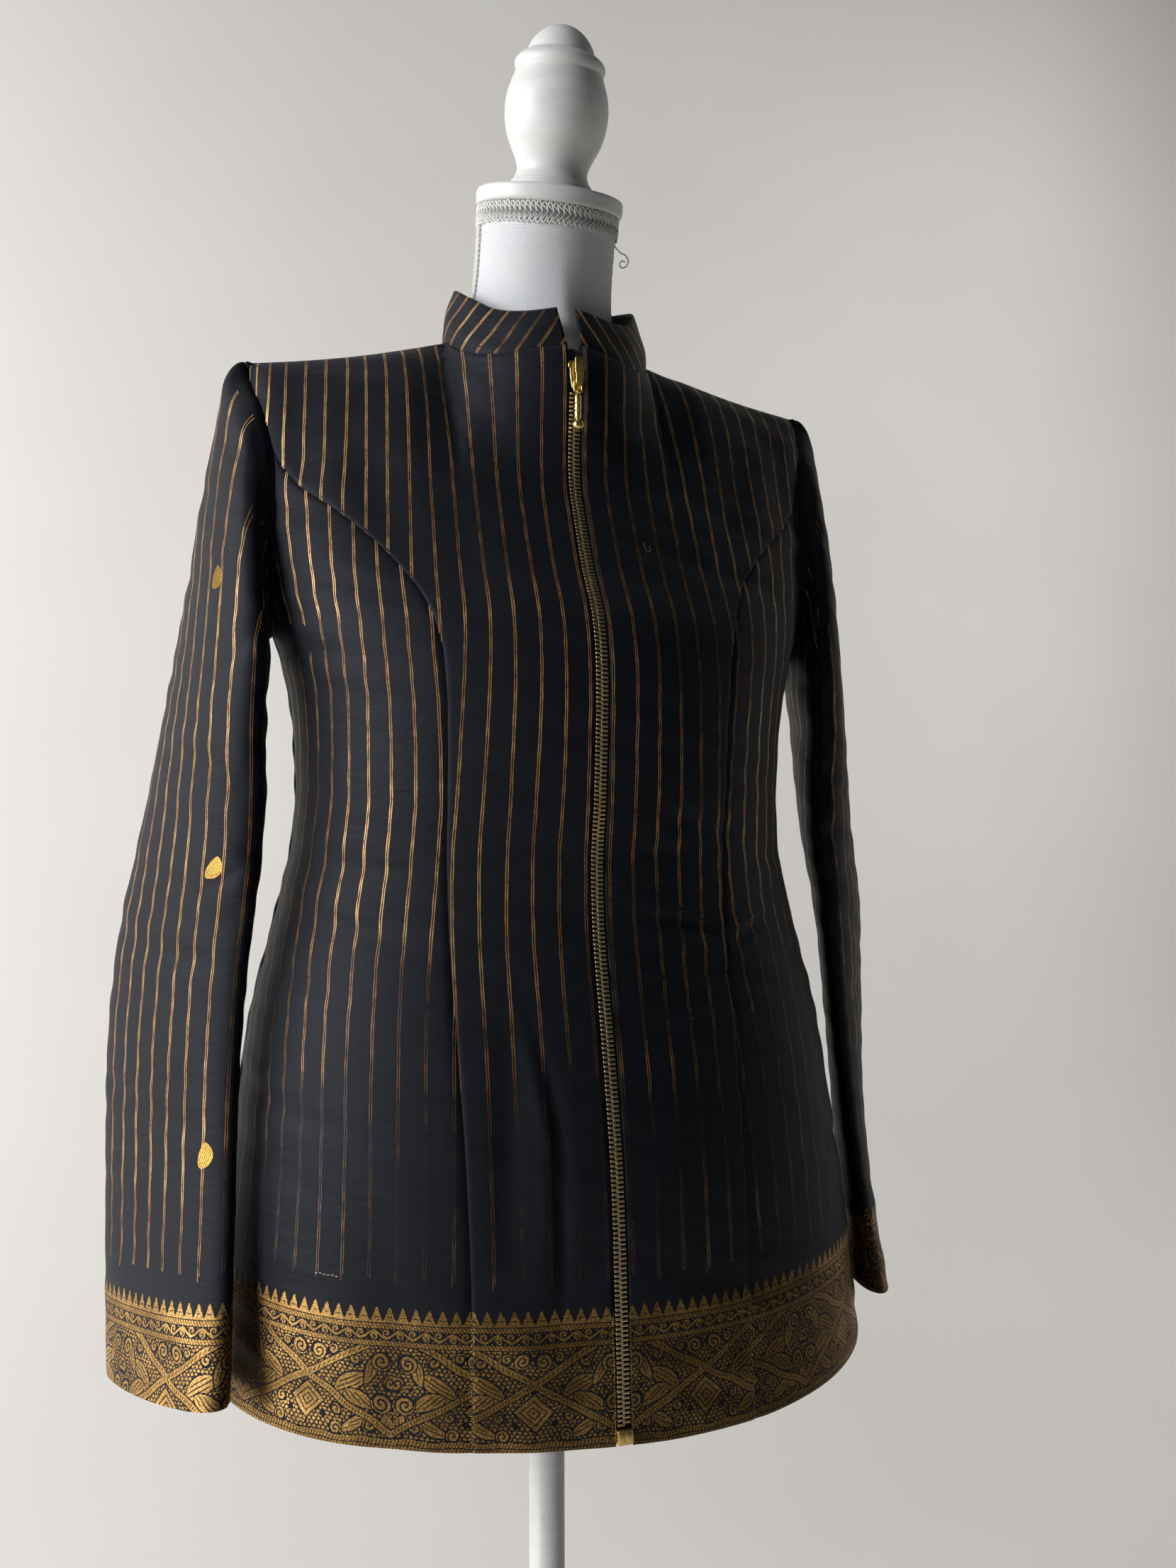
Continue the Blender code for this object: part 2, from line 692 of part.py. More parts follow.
def sleeve_point(side, row, angle):
    if row < len(CAP_SHARES):
        point = sleeve_cap_point(angle, CAP_SHARES[row])
        height = point.z
    else:
        height = SLEEVE_HEIGHTS[row - len(CAP_SHARES)]
        point = sleeve_section_point(side, height, angle)
    depth = sleeve_fold_depth(side, height, angle)
    if depth > 0.0:
        middle = sleeve_section_point(side, min(max(height, 0.018), 0.40), angle + 180.0)
        toward = Vector((middle.x - point.x, middle.y - point.y, 0.0))
        point = point + toward.normalized() * depth
    return Vector((side * point.x, point.y, point.z + HEM_HEIGHT))


def sleeve_normal(side, row, rows, angle):
    around = sleeve_point(side, row, angle + 2.0) - sleeve_point(side, row, angle - 2.0)
    low = min(row + 1, rows - 1)
    high = max(row - 1, 0)
    down = sleeve_point(side, low, angle) - sleeve_point(side, high, angle)
    normal = down.cross(around) * side
    return normal.normalized()


# Half a seam gap on the sleeve, as an angle in degrees
def sleeve_seam_gap(side, row, angle):
    per_degree = (sleeve_point(side, row, angle + 1.0) - sleeve_point(side, row, angle - 1.0)).length / 2
    return 1.1 * SEAM_GAP / per_degree


def make_sleeves(material, group):
    rows = len(CAP_SHARES) + len(SLEEVE_HEIGHTS)
    spans = (("top_sleeve_", TOP_SLEEVE_ANGLES), ("under_sleeve_", UNDER_SLEEVE_ANGLES))
    for side, mark in ((-1, "right"), (1, "left")):
        for stem, angles in spans:
            outer = []
            inner = []
            for row in range(rows):
                first = angles[0] + sleeve_seam_gap(side, row, angles[0])
                last = angles[-1] - sleeve_seam_gap(side, row, angles[-1])
                line = [sleeve_point(side, row, angle) for angle in (first,) + angles[1:-1] + (last,)]
                outer.append(line)
                inner.append([
                    point - sleeve_normal(side, row, rows, angle) * CLOTH
                    for point, angle in zip(line, angles)
                ])
            wall_object(stem + mark, outer, inner, material, group, flip=(side > 0))


# The collar stands on the neckline and leans in towards the neck
COLLAR_BASE_NOTCH = (-0.0046, 0.0030)
COLLAR_TOP_NOTCH = (-0.0078, 0.0032)
COLLAR_RAISE = 0.0004
COLLAR_TOP_ROWS = (
    (0.0, 0.6165),
    (25.0, 0.6130),
    (45.0, 0.6160),
    (65.0, 0.6270),
    (90.0, 0.6400),
    (135.0, 0.6500),
    (180.0, 0.6540),
)


def collar_point(angle, share):
    away = abs(angle)
    base = neckline_point(away, NECKLINE_BACK)
    base.z += COLLAR_RAISE
    turn = math.radians(away)
    depth = COLLAR_TOP_FRONT if away <= 90 else COLLAR_TOP_BACK
    top = Vector((COLLAR_TOP_HALF * math.sin(turn), -depth * math.cos(turn), table_value(COLLAR_TOP_ROWS, away)[0]))
    point = base.lerp(top, share)
    out = Vector((math.sin(turn), -math.cos(turn), 0.0))
    point = point + out * 0.0012 * math.sin(math.pi * share)
    return Vector((math.copysign(point.x, angle), point.y, point.z + HEM_HEIGHT))


def collar_edge_angle(share, side_index):
    base_x = COLLAR_BASE_NOTCH[side_index]
    top_x = COLLAR_TOP_NOTCH[side_index]
    x = base_x + (top_x - base_x) * share ** 0.7
    half = NECKLINE_HALF + (COLLAR_TOP_HALF - NECKLINE_HALF) * share
    return math.degrees(math.asin(x / half))


def make_collar(material, group):
    columns = int(360.0 / NECKLINE_STEP) + 1
    rows = 5
    outer = []
    inner = []
    for row in range(rows):
        share = row / (rows - 1)
        start = collar_edge_angle(share, 1)
        end = collar_edge_angle(share, 0) + 360.0
        outer_line = []
        inner_line = []
        for column in range(columns):
            angle = start if column == 0 else end if column == columns - 1 else NECKLINE_STEP * column
            if angle > 180.0:
                angle -= 360.0
            turn = math.radians(angle)
            point = collar_point(angle, share)
            outer_line.append(point)
            inner_line.append(point - Vector((math.sin(turn), -math.cos(turn), 0.0)) * CLOTH)
        outer.append(outer_line)
        inner.append(inner_line)
    return wall_object("collar", outer, inner, material, group)


# A strip along the centre front, its outer face lying inset behind the cloth surface
def front_strip(name, half_width, inset, thickness, low, high, material, group, columns=3):
    panel_heights = list(LOWER_HEIGHTS) + [upper_height(row) for row in range(1, UPPER_STEPS + 1)]
    heights = [low] + [height for height in panel_heights if low + 0.001 < height < high - 0.001] + [high]
    layers = []
    for depth in (inset, inset + thickness):
        layer = []
        for height in heights:
            reach = min(height, TOP_HEIGHT - 0.0001)
            line = []
            for column in range(columns):
                x = half_width * (2 * column / (columns - 1) - 1)
                across = across_of_x(abs(x), min(reach, CHEST_HEIGHT))
                normal = body_normal(across, reach, "front")
                normal.x = 0.0
                point = body_point(across, reach, "front") - normal.normalized() * depth
                line.append(Vector((x, point.y, point.z + HEM_HEIGHT + hem_lift(x, height))))
            layer.append(line)
        layers.append(layer)
    return wall_object(name, layers[0], layers[1], material, group)


def make_zip(tape_material, brass_material, group):
    tape_inset = CLOTH + 2 * TOUCH_GAP
    front_strip("zip_tape", ZIP_TAPE_HALF, tape_inset, ZIP_TAPE_THICK, 0.001, ZIP_TOP, tape_material, group, 5)
    chain_inset = tape_inset - TOUCH_GAP - ZIP_CHAIN_THICK
    chain_low = BOTTOM_BOX_HEIGHT + 0.002
    chain_high = SLIDER_TOP - SLIDER_LENGTH - TOUCH_GAP
    front_strip("zip_chain", ZIP_CHAIN_HALF, chain_inset, ZIP_CHAIN_THICK, chain_low, chain_high, brass_material, group)


def join_by_union(main, others):
    for other in others:
        cut = main.modifiers.new("join", "BOOLEAN")
        cut.operation = "UNION"
        cut.solver = "EXACT"
        cut.object = other
    bpy.context.view_layer.update()
    graph = bpy.context.evaluated_depsgraph_get()
    mesh = bpy.data.meshes.new_from_object(main.evaluated_get(graph))
    main.modifiers.clear()
    main.data = mesh
    for other in others:
        bpy.data.objects.remove(other, do_unlink=True)
    return main


def box_object(name, low, high, material, group, bevel=0.0):
    mesh = bpy.data.meshes.new(name)
    shape = bmesh.new()
    bmesh.ops.create_cube(shape, size=1.0)
    centre = (Vector(low) + Vector(high)) / 2
    size = Vector(high) - Vector(low)
    bmesh.ops.scale(shape, vec=size, verts=shape.verts)
    bmesh.ops.translate(shape, vec=centre, verts=shape.verts)
    if bevel > 0.0:
        bmesh.ops.bevel(shape, geom=list(shape.edges), offset=bevel, segments=1, affect="EDGES")
    shape.to_mesh(mesh)
    shape.free()
    mesh.materials.append(material)
    item = bpy.data.objects.new(name, mesh)
    group.objects.link(item)
    return item


def cylinder_object(name, centre, axis, radius, length, material, group, segments=10):
    mesh = bpy.data.meshes.new(name)
    shape = bmesh.new()
    bmesh.ops.create_cone(
        shape, cap_ends=True, cap_tris=False, segments=segments, radius1=radius, radius2=radius, depth=length
    )
    turn = Vector((0.0, 0.0, 1.0)).rotation_difference(Vector(axis)).to_matrix().to_4x4()
    shape.transform(Matrix.Translation(Vector(centre)) @ turn)
    shape.to_mesh(mesh)
    shape.free()
    mesh.materials.append(material)
    item = bpy.data.objects.new(name, mesh)
    group.objects.link(item)
    return item


# The slider, link and bar are made upright at the origin, then leaned with the chest and moved there
def front_frame(height):
    place = body_point(0.0, height, "front")
    normal = body_normal(0.02, height, "front")
    normal = Vector((0.0, normal.y, normal.z)).normalized()
    lean = math.atan2(normal.z, -normal.y)
    up = HEM_HEIGHT + hem_lift(0.0, height)
    return Matrix.Translation(place + Vector((0.0, 0.0, up))) @ Matrix.Rotation(-lean, 4, "X")


def place_mesh(item, matrix):
    item.data.transform(matrix)
    return item


def slider_frame():
    return front_frame(SLIDER_TOP - SLIDER_LENGTH / 2)


def chain_front():
    return ZIP_CHAIN_THICK - CLOTH


def pivot_local():
    return Vector((0.0, -(chain_front() + TOUCH_GAP + SLIDER_PLATE + PIVOT_PROUD - 0.0018), -0.0045))


def make_slider(material, group):
    back = -(chain_front() + TOUCH_GAP)
    front = back - SLIDER_PLATE
    half = SLIDER_LENGTH / 2
    outline = (
        (0.0052, half - 0.0010), (0.0042, half), (-0.0042, half), (-0.0052, half - 0.0010),
        (-0.0052, half - 0.0060), (-0.0038, -0.0010), (-0.0036, -half + 0.0012), (-0.0026, -half),
        (0.0026, -half), (0.0036, -half + 0.0012), (0.0038, -0.0010), (0.0052, half - 0.0060),
    )
    mesh = bpy.data.meshes.new("zip_slider")
    shape = bmesh.new()
    ring = [shape.verts.new((x, front, z)) for x, z in outline]
    plate = shape.faces.new(ring)
    pushed = bmesh.ops.extrude_face_region(shape, geom=[plate])
    moved = [vertex for vertex in pushed["geom"] if isinstance(vertex, bmesh.types.BMVert)]
    bmesh.ops.translate(shape, vec=Vector((0.0, back - front, 0.0)), verts=moved)
    bmesh.ops.recalc_face_normals(shape, faces=shape.faces)
    shape.to_mesh(mesh)
    shape.free()
    mesh.materials.append(material)
    slider = bpy.data.objects.new("zip_slider", mesh)
    group.objects.link(slider)
    pivot = pivot_local()
    bridge_front = pivot.y - WIRE_RADIUS - TOUCH_GAP - 0.0009
    bridge_half = 0.0012
    low_post = pivot.z - WIRE_RADIUS - TOUCH_GAP
    posts = (
        ((-bridge_half, bridge_front, 0.0035), (bridge_half, front + 0.0003, 0.0065)),
        ((-bridge_half, bridge_front, low_post - 0.0013), (bridge_half, front + 0.0003, low_post)),
        ((-bridge_half, bridge_front, low_post - 0.0004), (bridge_half, bridge_front + 0.0009, 0.0045)),
    )
    pieces = [box_object("bridge", low, high, material, group) for low, high in posts]
    slider = join_by_union(slider, pieces)
    return place_mesh(slider, slider_frame())


def make_link(material, group):
    pivot = pivot_local()
    top = cylinder_object("zip_link", pivot, (1, 0, 0), WIRE_RADIUS, 2 * LINK_HALF_WIDTH, material, group)
    low = Vector((0.0, pivot.y, pivot.z - LINK_LENGTH))
    foot = cylinder_object("foot", low, (1, 0, 0), WIRE_RADIUS, 2 * LINK_HALF_WIDTH, material, group)
    rails = []
    for sign in (-1, 1):
        x = sign * LINK_HALF_WIDTH
        rails.append(box_object(
            "rail",
            (x - 0.0005, pivot.y - 0.0006, low.z - 0.0006),
            (x + 0.0005, pivot.y + 0.0006, pivot.z + 0.0006),
            material, group,
        ))
    link = join_by_union(top, [foot] + rails)
    return place_mesh(link, slider_frame())


def make_pull_bar(material, group):
    pivot = pivot_local()
    eye_z = pivot.z - LINK_LENGTH
    eye_y = pivot.y
    mesh = bpy.data.meshes.new("zip_pull")
    shape = bmesh.new()
    segments = 14
    inner = WIRE_RADIUS + TOUCH_GAP
    outer = EYE_RADIUS + 0.0003
    half = 0.0009
    rings = []
    for x, radius in ((-half, inner), (-half, outer), (half, outer), (half, inner)):
        ring = []
        for step in range(segments):
            turn = 2 * math.pi * step / segments
            ring.append(shape.verts.new((x, eye_y + radius * math.cos(turn), eye_z + radius * math.sin(turn))))
        rings.append(ring)
    for index in range(4):
        first = rings[index]
        second = rings[(index + 1) % 4]
        for step in range(segments):
            after = (step + 1) % segments
            shape.faces.new((first[step], first[after], second[after], second[step]))
    bmesh.ops.recalc_face_normals(shape, faces=shape.faces)
    shape.to_mesh(mesh)
    shape.free()
    mesh.materials.append(material)
    eye = bpy.data.objects.new("zip_pull", mesh)
    group.objects.link(eye)
    bar_top = eye_z - EYE_RADIUS + 0.0001
    bar_low = bar_top - BAR_LENGTH
    bar = box_object(
        "bar",
        (-BAR_HALF_WIDTH, eye_y - 0.0013, bar_low),
        (BAR_HALF_WIDTH, eye_y + 0.0013, bar_top),
        material, group, bevel=0.0006,
    )
    ball_mesh = bpy.data.meshes.new("ball")
    ball_shape = bmesh.new()
    bmesh.ops.create_uvsphere(ball_shape, u_segments=14, v_segments=9, radius=BALL_RADIUS)
    bmesh.ops.translate(ball_shape, vec=Vector((0.0, eye_y, bar_low - BALL_RADIUS + 0.0008)), verts=ball_shape.verts)
    ball_shape.to_mesh(ball_mesh)
    ball_shape.free()
    ball_mesh.materials.append(material)
    ball = bpy.data.objects.new("ball", ball_mesh)
    group.objects.link(ball)
    pull = join_by_union(eye, [bar, ball])
    return place_mesh(pull, slider_frame())


def make_bottom_box(material, group):
    back = -(chain_front() - ZIP_CHAIN_THICK)
    box = box_object(
        "zip_bottom_box",
        (-0.0042, -0.0022, 0.0),
        (0.0042, back, BOTTOM_BOX_HEIGHT),
        material, group, bevel=0.0005,
    )
    return place_mesh(box, front_frame(0.001))


# The dress form: torso and neck in one closed skin, smaller than the jacket by its ease
FORM_EASE = (0.0130, 0.0108, 0.0112)
FORM_LOWER_EASE = (0.016, 0.018, 0.016)
FORM_SHRINK = 0.0038
FORM_DROP = 0.0022
FORM_HEIGHTS = (0.030, 0.040, 0.09, 0.15, 0.20, 0.25, 0.29, 0.33, 0.37, 0.41, 0.44, 0.47, 0.50)
FORM_UPPER = (0.52, 0.54, 0.56, 0.575, 0.587, 0.596, 0.60)


def form_ease(height):
    share = min(max((0.44 - height) / 0.20, 0.0), 1.0)
    ease = [high + (low - high) * share for high, low in zip(FORM_EASE, FORM_LOWER_EASE)]
    if height < 0.04:
        ease = [value + 0.012 * (0.04 - height) / 0.01 for value in ease]
    return tuple(ease)


def form_across_steps():
    steps = []
    for angle in [0.0] + neckline_angles():
        x = (NECKLINE_HALF - FORM_SHRINK) * math.sin(math.radians(angle))
        half_width = BODY_ROWS[-1][1] - FORM_EASE[0]
        share = min(x / half_width, 1.0)
        steps.append(math.asin(share ** (BODY_ROWS[-1][5] / 2)) / (math.pi / 2))
    for across in (0.52, 0.66, 0.80, 0.91, 1.0):
        steps.append(across)
    return steps


def form_loop(height):
    ease = form_ease(height)
    steps = form_across_steps()
    loop = []
    for side, face, order in ((1, "front", steps), (1, "back", steps[::-1][1:]), (-1, "back", steps[1:]),
                              (-1, "front", steps[::-1][1:-1])):
        for across in order:
            point = body_point(across, height, face, ease, FORM_SHRINK, FORM_DROP)
            loop.append(Vector((side * point.x, point.y, point.z + HEM_HEIGHT)))
    return loop


def neck_top_z(y):
    return NECK_TOP_Z + math.tan(NECK_LEAN) * (y - DISC_Y)


# The neck rises from the neckline ring, drawn in to its own radius, to a slanted top
def neck_point(angle, share, proud=0.0):
    away = abs(angle)
    base = neckline_point(away, NECKLINE_BACK, FORM_SHRINK, FORM_DROP)
    turn = math.radians(away)
    top_y = NECK_TOP_Y - NECK_RADIUS * math.cos(turn)
    side_share = math.sin(turn)
    draw = 1.0 - (1.0 - share) ** (2.5 + 2.5 * side_share)
    wall_y = NECK_TOP_Y + NECK_RUN * (1.0 - share) - NECK_RADIUS * math.cos(turn)
    x = base.x + (NECK_RADIUS * math.sin(turn) - base.x) * draw + proud * math.sin(turn)
    y = base.y + (wall_y - base.y) * draw - proud * math.cos(turn)
    z = base.z + (neck_top_z(top_y) - base.z) * share
    return Vector((math.copysign(x, angle), y, z + HEM_HEIGHT))


def neck_share(angle, below_top):
    away = abs(angle)
    base = neckline_point(away, NECKLINE_BACK, FORM_SHRINK, FORM_DROP)
    top_z = neck_top_z(NECK_TOP_Y - NECK_RADIUS * math.cos(math.radians(away)))
    return 1.0 - below_top / (top_z - base.z)


def neck_loop(share):
    count = int(360.0 / NECKLINE_STEP)
    angles = [NECKLINE_STEP * index for index in range(count)]
    return [neck_point(angle if angle <= 180.0 else angle - 360.0, share) for angle in angles]


NECK_SHARES = (0.0, 0.12, 0.26, 0.45, 0.70, 1.0)
SIDE_BRAID_SHARES = (0.30, 0.45, 0.70)


def make_form(material, group):
    shape = bmesh.new()
    loops = [form_loop(height) for height in FORM_HEIGHTS + FORM_UPPER]
    made = []
    for loop in loops:
        made.append([shape.verts.new(point) for point in loop])
    count = len(loops[0])
    for low, high in zip(made[:-1], made[1:]):
        for step in range(count):
            after = (step + 1) % count
            shape.faces.new((low[step], low[after], high[after], high[step]))
    shape.faces.new(made[0][::-1])
    bmesh.ops.remove_doubles(shape, verts=shape.verts, dist=0.00005)
    neck = [[shape.verts.new(point) for point in neck_loop(share)] for share in NECK_SHARES]
    around = len(neck[0])
    for low, high in zip(neck[:-1], neck[1:]):
        for step in range(around):
            after = (step + 1) % around
            shape.faces.new((low[step], low[after], high[after], high[step]))
    shape.faces.new(neck[-1])
    bmesh.ops.remove_doubles(shape, verts=shape.verts, dist=0.0002)
    bmesh.ops.recalc_face_normals(shape, faces=shape.faces)
    mesh = bpy.data.meshes.new("form_torso")
    shape.to_mesh(mesh)
    shape.free()
    mesh.materials.append(material)
    mesh.shade_smooth()
    item = bpy.data.objects.new("form_torso", mesh)
    group.objects.link(item)
    return item


def make_neck_braids(material, group):
    columns = int(360.0 / NECKLINE_STEP)
    top_gap = 0.0006
    base_proud = TOUCH_GAP + 0.0002
    layers = []
    for proud in (base_proud + BRAID_THICK, base_proud):
        layer = []
        for below in (BRAID_HEIGHT, BRAID_HEIGHT / 2, top_gap):
            angles = [-180.0 + NECKLINE_STEP * (column + 1) for column in range(columns)]
            layer.append([neck_point(angle, neck_share(angle, below), proud) for angle in angles])
        layers.append(layer)
    wall_object("neck_braid", layers[0], layers[1], material, group, closed=True)
    for side, mark in ((-1, "right"), (1, "left")):
        half_angle = math.degrees(SIDE_BRAID_WIDTH / 2 / NECK_RADIUS)
        top_share = neck_share(90.0, BRAID_HEIGHT + TOUCH_GAP + 0.0003)
        layers = []
        for proud in (base_proud + BRAID_THICK, base_proud):
            layer = []
            for share in SIDE_BRAID_SHARES + (top_share,):
                angles = [side * 90.0 + half_angle * turn for turn in (-1.0, 0.0, 1.0)]
                layer.append([neck_point(angle, share, proud) for angle in angles])
            layers.append(layer)
        wall_object("side_braid_" + mark, layers[0], layers[1], material, group)


# A turned piece: profile rows of radius and height, spun about its own z axis
def turned_object(name, profile, material, group, matrix=Matrix.Identity(4), segments=24):
    mesh = bpy.data.meshes.new(name)
    vertices = [(radius, 0.0, height) for radius, height in profile]
    edges = [(index, index + 1) for index in range(len(vertices) - 1)]
    mesh.from_pydata(vertices, edges, [])
    item = bpy.data.objects.new(name, mesh)
    group.objects.link(item)
    item.matrix_world = matrix
    turn = item.modifiers.new("turn", "SCREW")
    turn.axis = "Z"
    turn.steps = segments
    turn.render_steps = segments
    turn.use_merge_vertices = True
    turn.merge_threshold = 0.00002
    turn.use_smooth_shade = True
    mesh.materials.append(material)
    return item


def neck_axis_matrix(up):
    place = Vector((0.0, DISC_Y, NECK_TOP_Z + HEM_HEIGHT))
    lean = Matrix.Rotation(NECK_LEAN, 4, "X")
    return Matrix.Translation(place) @ lean @ Matrix.Translation(Vector((0.0, 0.0, up)))


def make_cap_and_finial(material, group):
    edge = 0.0022
    disc = (
        (0.0, DISC_THICK), (DISC_RADIUS - edge, DISC_THICK), (DISC_RADIUS - 0.0007, DISC_THICK - 0.0008),
        (DISC_RADIUS, DISC_THICK - edge), (DISC_RADIUS, edge), (DISC_RADIUS - 0.0007, 0.0008),
        (DISC_RADIUS - edge, 0.0), (0.0, 0.0),
    )
    turned_object("cap_disc", disc, material, group, neck_axis_matrix(TOUCH_GAP))
    rows = FINIAL_ROWS[::-1]
    profile = [(0.0, rows[0][0] + 0.0008)]
    profile += [(radius, height) for height, radius in rows]
    profile.append((0.0, 0.0))
    up = 2 * TOUCH_GAP + DISC_THICK
    turned_object("finial", profile, material, group, neck_axis_matrix(up))


def make_stand(material, group):
    top = FORM_BOTTOM + HEM_HEIGHT - TOUCH_GAP
    flange_thick = 0.012
    flange = (
        (FLANGE_RADIUS, top), (FLANGE_RADIUS, top - 0.004), (0.022, top - flange_thick),
        (POLE_RADIUS + TOUCH_GAP, top - flange_thick - 0.012), (POLE_RADIUS + TOUCH_GAP, top), (FLANGE_RADIUS, top),
    )
    turned_object("pole_flange", flange, material, group)
    pole = ((0.0, top), (POLE_RADIUS, top), (POLE_RADIUS, BASE_THICK + TOUCH_GAP), (0.0, BASE_THICK + TOUCH_GAP))
    turned_object("pole", pole, material, group, segments=24)
    hub = 0.024
    base = (
        (0.0, BASE_THICK), (POLE_RADIUS + 0.004, BASE_THICK), (hub, BASE_THICK - 0.003),
        (BASE_RADIUS - 0.030, 0.010), (BASE_RADIUS - 0.006, 0.007), (BASE_RADIUS, 0.004),
        (BASE_RADIUS, 0.0), (0.0, 0.0),
    )
    turned_object("base", base, material, group, segments=40)


def main():
    clear_scene()
    group = new_collection("jacket_on_dress_form")
    silk = make_material("navy_silk", (0.012, 0.014, 0.024), 0.55)
    canvas = make_material("white_canvas", (0.80, 0.80, 0.80), 0.9)
    braid = make_material("white_braid", (0.86, 0.85, 0.82), 0.8)
    paint = make_material("white_paint", (0.82, 0.82, 0.80), 0.45)
    brass = make_material("brass", (0.75, 0.55, 0.22), 0.3, 1.0)
    tape = make_material("black_tape", (0.01, 0.01, 0.012), 0.8)
    make_body(silk, group)
    make_sleeves(silk, group)
    make_collar(silk, group)
    make_zip(tape, brass, group)
    make_slider(brass, group)
    make_link(brass, group)
    make_pull_bar(brass, group)
    make_bottom_box(brass, group)
    make_form(canvas, group)
    make_neck_braids(braid, group)
    make_cap_and_finial(paint, group)
    make_stand(paint, group)


main()
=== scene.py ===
import math

import bmesh
import bpy
import numpy as np
from mathutils import Matrix, Vector


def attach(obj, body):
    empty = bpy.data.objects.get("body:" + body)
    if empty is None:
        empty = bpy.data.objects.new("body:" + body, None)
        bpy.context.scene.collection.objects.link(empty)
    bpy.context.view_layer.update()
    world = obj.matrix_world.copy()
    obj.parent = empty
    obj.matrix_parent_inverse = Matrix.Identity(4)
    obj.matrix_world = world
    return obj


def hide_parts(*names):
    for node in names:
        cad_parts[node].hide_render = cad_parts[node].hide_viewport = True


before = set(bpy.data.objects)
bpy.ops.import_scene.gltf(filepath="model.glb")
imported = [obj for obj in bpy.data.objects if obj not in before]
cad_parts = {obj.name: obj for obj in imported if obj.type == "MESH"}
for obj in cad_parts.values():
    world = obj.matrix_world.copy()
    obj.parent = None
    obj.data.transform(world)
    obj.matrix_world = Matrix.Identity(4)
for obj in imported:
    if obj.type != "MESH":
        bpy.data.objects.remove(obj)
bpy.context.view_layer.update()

hemHeight = 0.77
chestHeight = 0.50
topHeight = 0.60

# The camera stands where the photograph was taken from


def makeCamera():
    place = Vector((-0.203, -0.707, 1.106))
    yaw = math.radians(18.1)
    pitch = math.radians(0.26)
    roll = math.radians(-0.15)
    ahead = Vector((math.sin(yaw) * math.cos(pitch), math.cos(yaw) * math.cos(pitch), math.sin(pitch)))
    data = bpy.data.cameras.new("camera")
    data.sensor_width = 36.0
    data.lens = 1664.0 * 36.0 / 2212.0  # focal length read from the photo's perspective
    data.clip_start = 0.05
    camera = bpy.data.objects.new("camera", data)
    turn = ahead.to_track_quat("-Z", "Y").to_matrix() @ Matrix.Rotation(roll, 3, "Z")
    camera.matrix_world = Matrix.Translation(place) @ turn.to_4x4()
    bpy.context.scene.collection.objects.link(camera)
    bpy.context.scene.camera = camera
    bpy.context.scene.view_settings.view_transform = "Standard"  # plain tones, as the photograph has them


makeCamera()
print("camera placed")

# Plan sections of the jacket body, heights above the hem
# height, half width, y of the widest point, y of the front, y of the back, roundness
bodyRows = (
    (0.00, 0.202, 0.020, -0.1430, 0.148, 2.30),
    (0.07, 0.195, 0.020, -0.1385, 0.144, 2.30),
    (0.14, 0.185, 0.020, -0.1320, 0.136, 2.30),
    (0.20, 0.177, 0.020, -0.1190, 0.122, 2.30),
    (0.26, 0.163, 0.018, -0.1040, 0.104, 2.25),
    (0.30, 0.154, 0.016, -0.1020, 0.094, 2.25),
    (0.33, 0.151, 0.015, -0.1070, 0.091, 2.25),
    (0.37, 0.152, 0.014, -0.1105, 0.096, 2.25),
    (0.40, 0.156, 0.012, -0.1110, 0.102, 2.25),
    (0.43, 0.164, 0.010, -0.1045, 0.106, 2.25),
    (0.46, 0.171, 0.010, -0.0860, 0.107, 2.30),
    (0.50, 0.177, 0.010, -0.0670, 0.102, 2.30),
)
necklineRows = (  # angle from the centre front, height of the neckline seam
    (0.0, 0.591), (20.0, 0.588), (40.0, 0.586), (62.0, 0.592), (90.0, 0.607), (135.0, 0.617),
    (180.0, 0.621),
)
princessRows = (  # height, distance of the seam from the centre front
    (0.0, 0.077), (0.07, 0.076), (0.14, 0.077), (0.22, 0.079), (0.3, 0.08), (0.38, 0.081), (0.41, 0.083),
)
princessCurveRows = (
    (0.410, 0.0830), (0.430, 0.0880), (0.450, 0.0970), (0.470, 0.1120), (0.490, 0.1330), (0.506, 0.1520),
)
bodyFolds = {  # side and face: across, height, half across, half height, depth
    (-1, "front"): (
        (0.62, 0.535, 0.10, 0.036, 0.0022),
        (0.30, 0.525, 0.10, 0.040, -0.0012),
        (0.16, 0.145, 0.035, 0.075, 0.0022),
    ),
    (1, "front"): (
        (0.60, 0.530, 0.09, 0.036, 0.0018),
        (0.22, 0.265, 0.10, 0.012, 0.0012),
        (0.24, 0.225, 0.10, 0.011, 0.0012),
    ),
    (-1, "back"): (
        (0.55, 0.320, 0.16, 0.014, 0.0018),
        (0.84, 0.450, 0.06, 0.050, 0.0028),
    ),
    (1, "back"): (
        (0.50, 0.296, 0.16, 0.014, 0.0020),
        (0.84, 0.446, 0.06, 0.050, 0.0026),
    ),
}
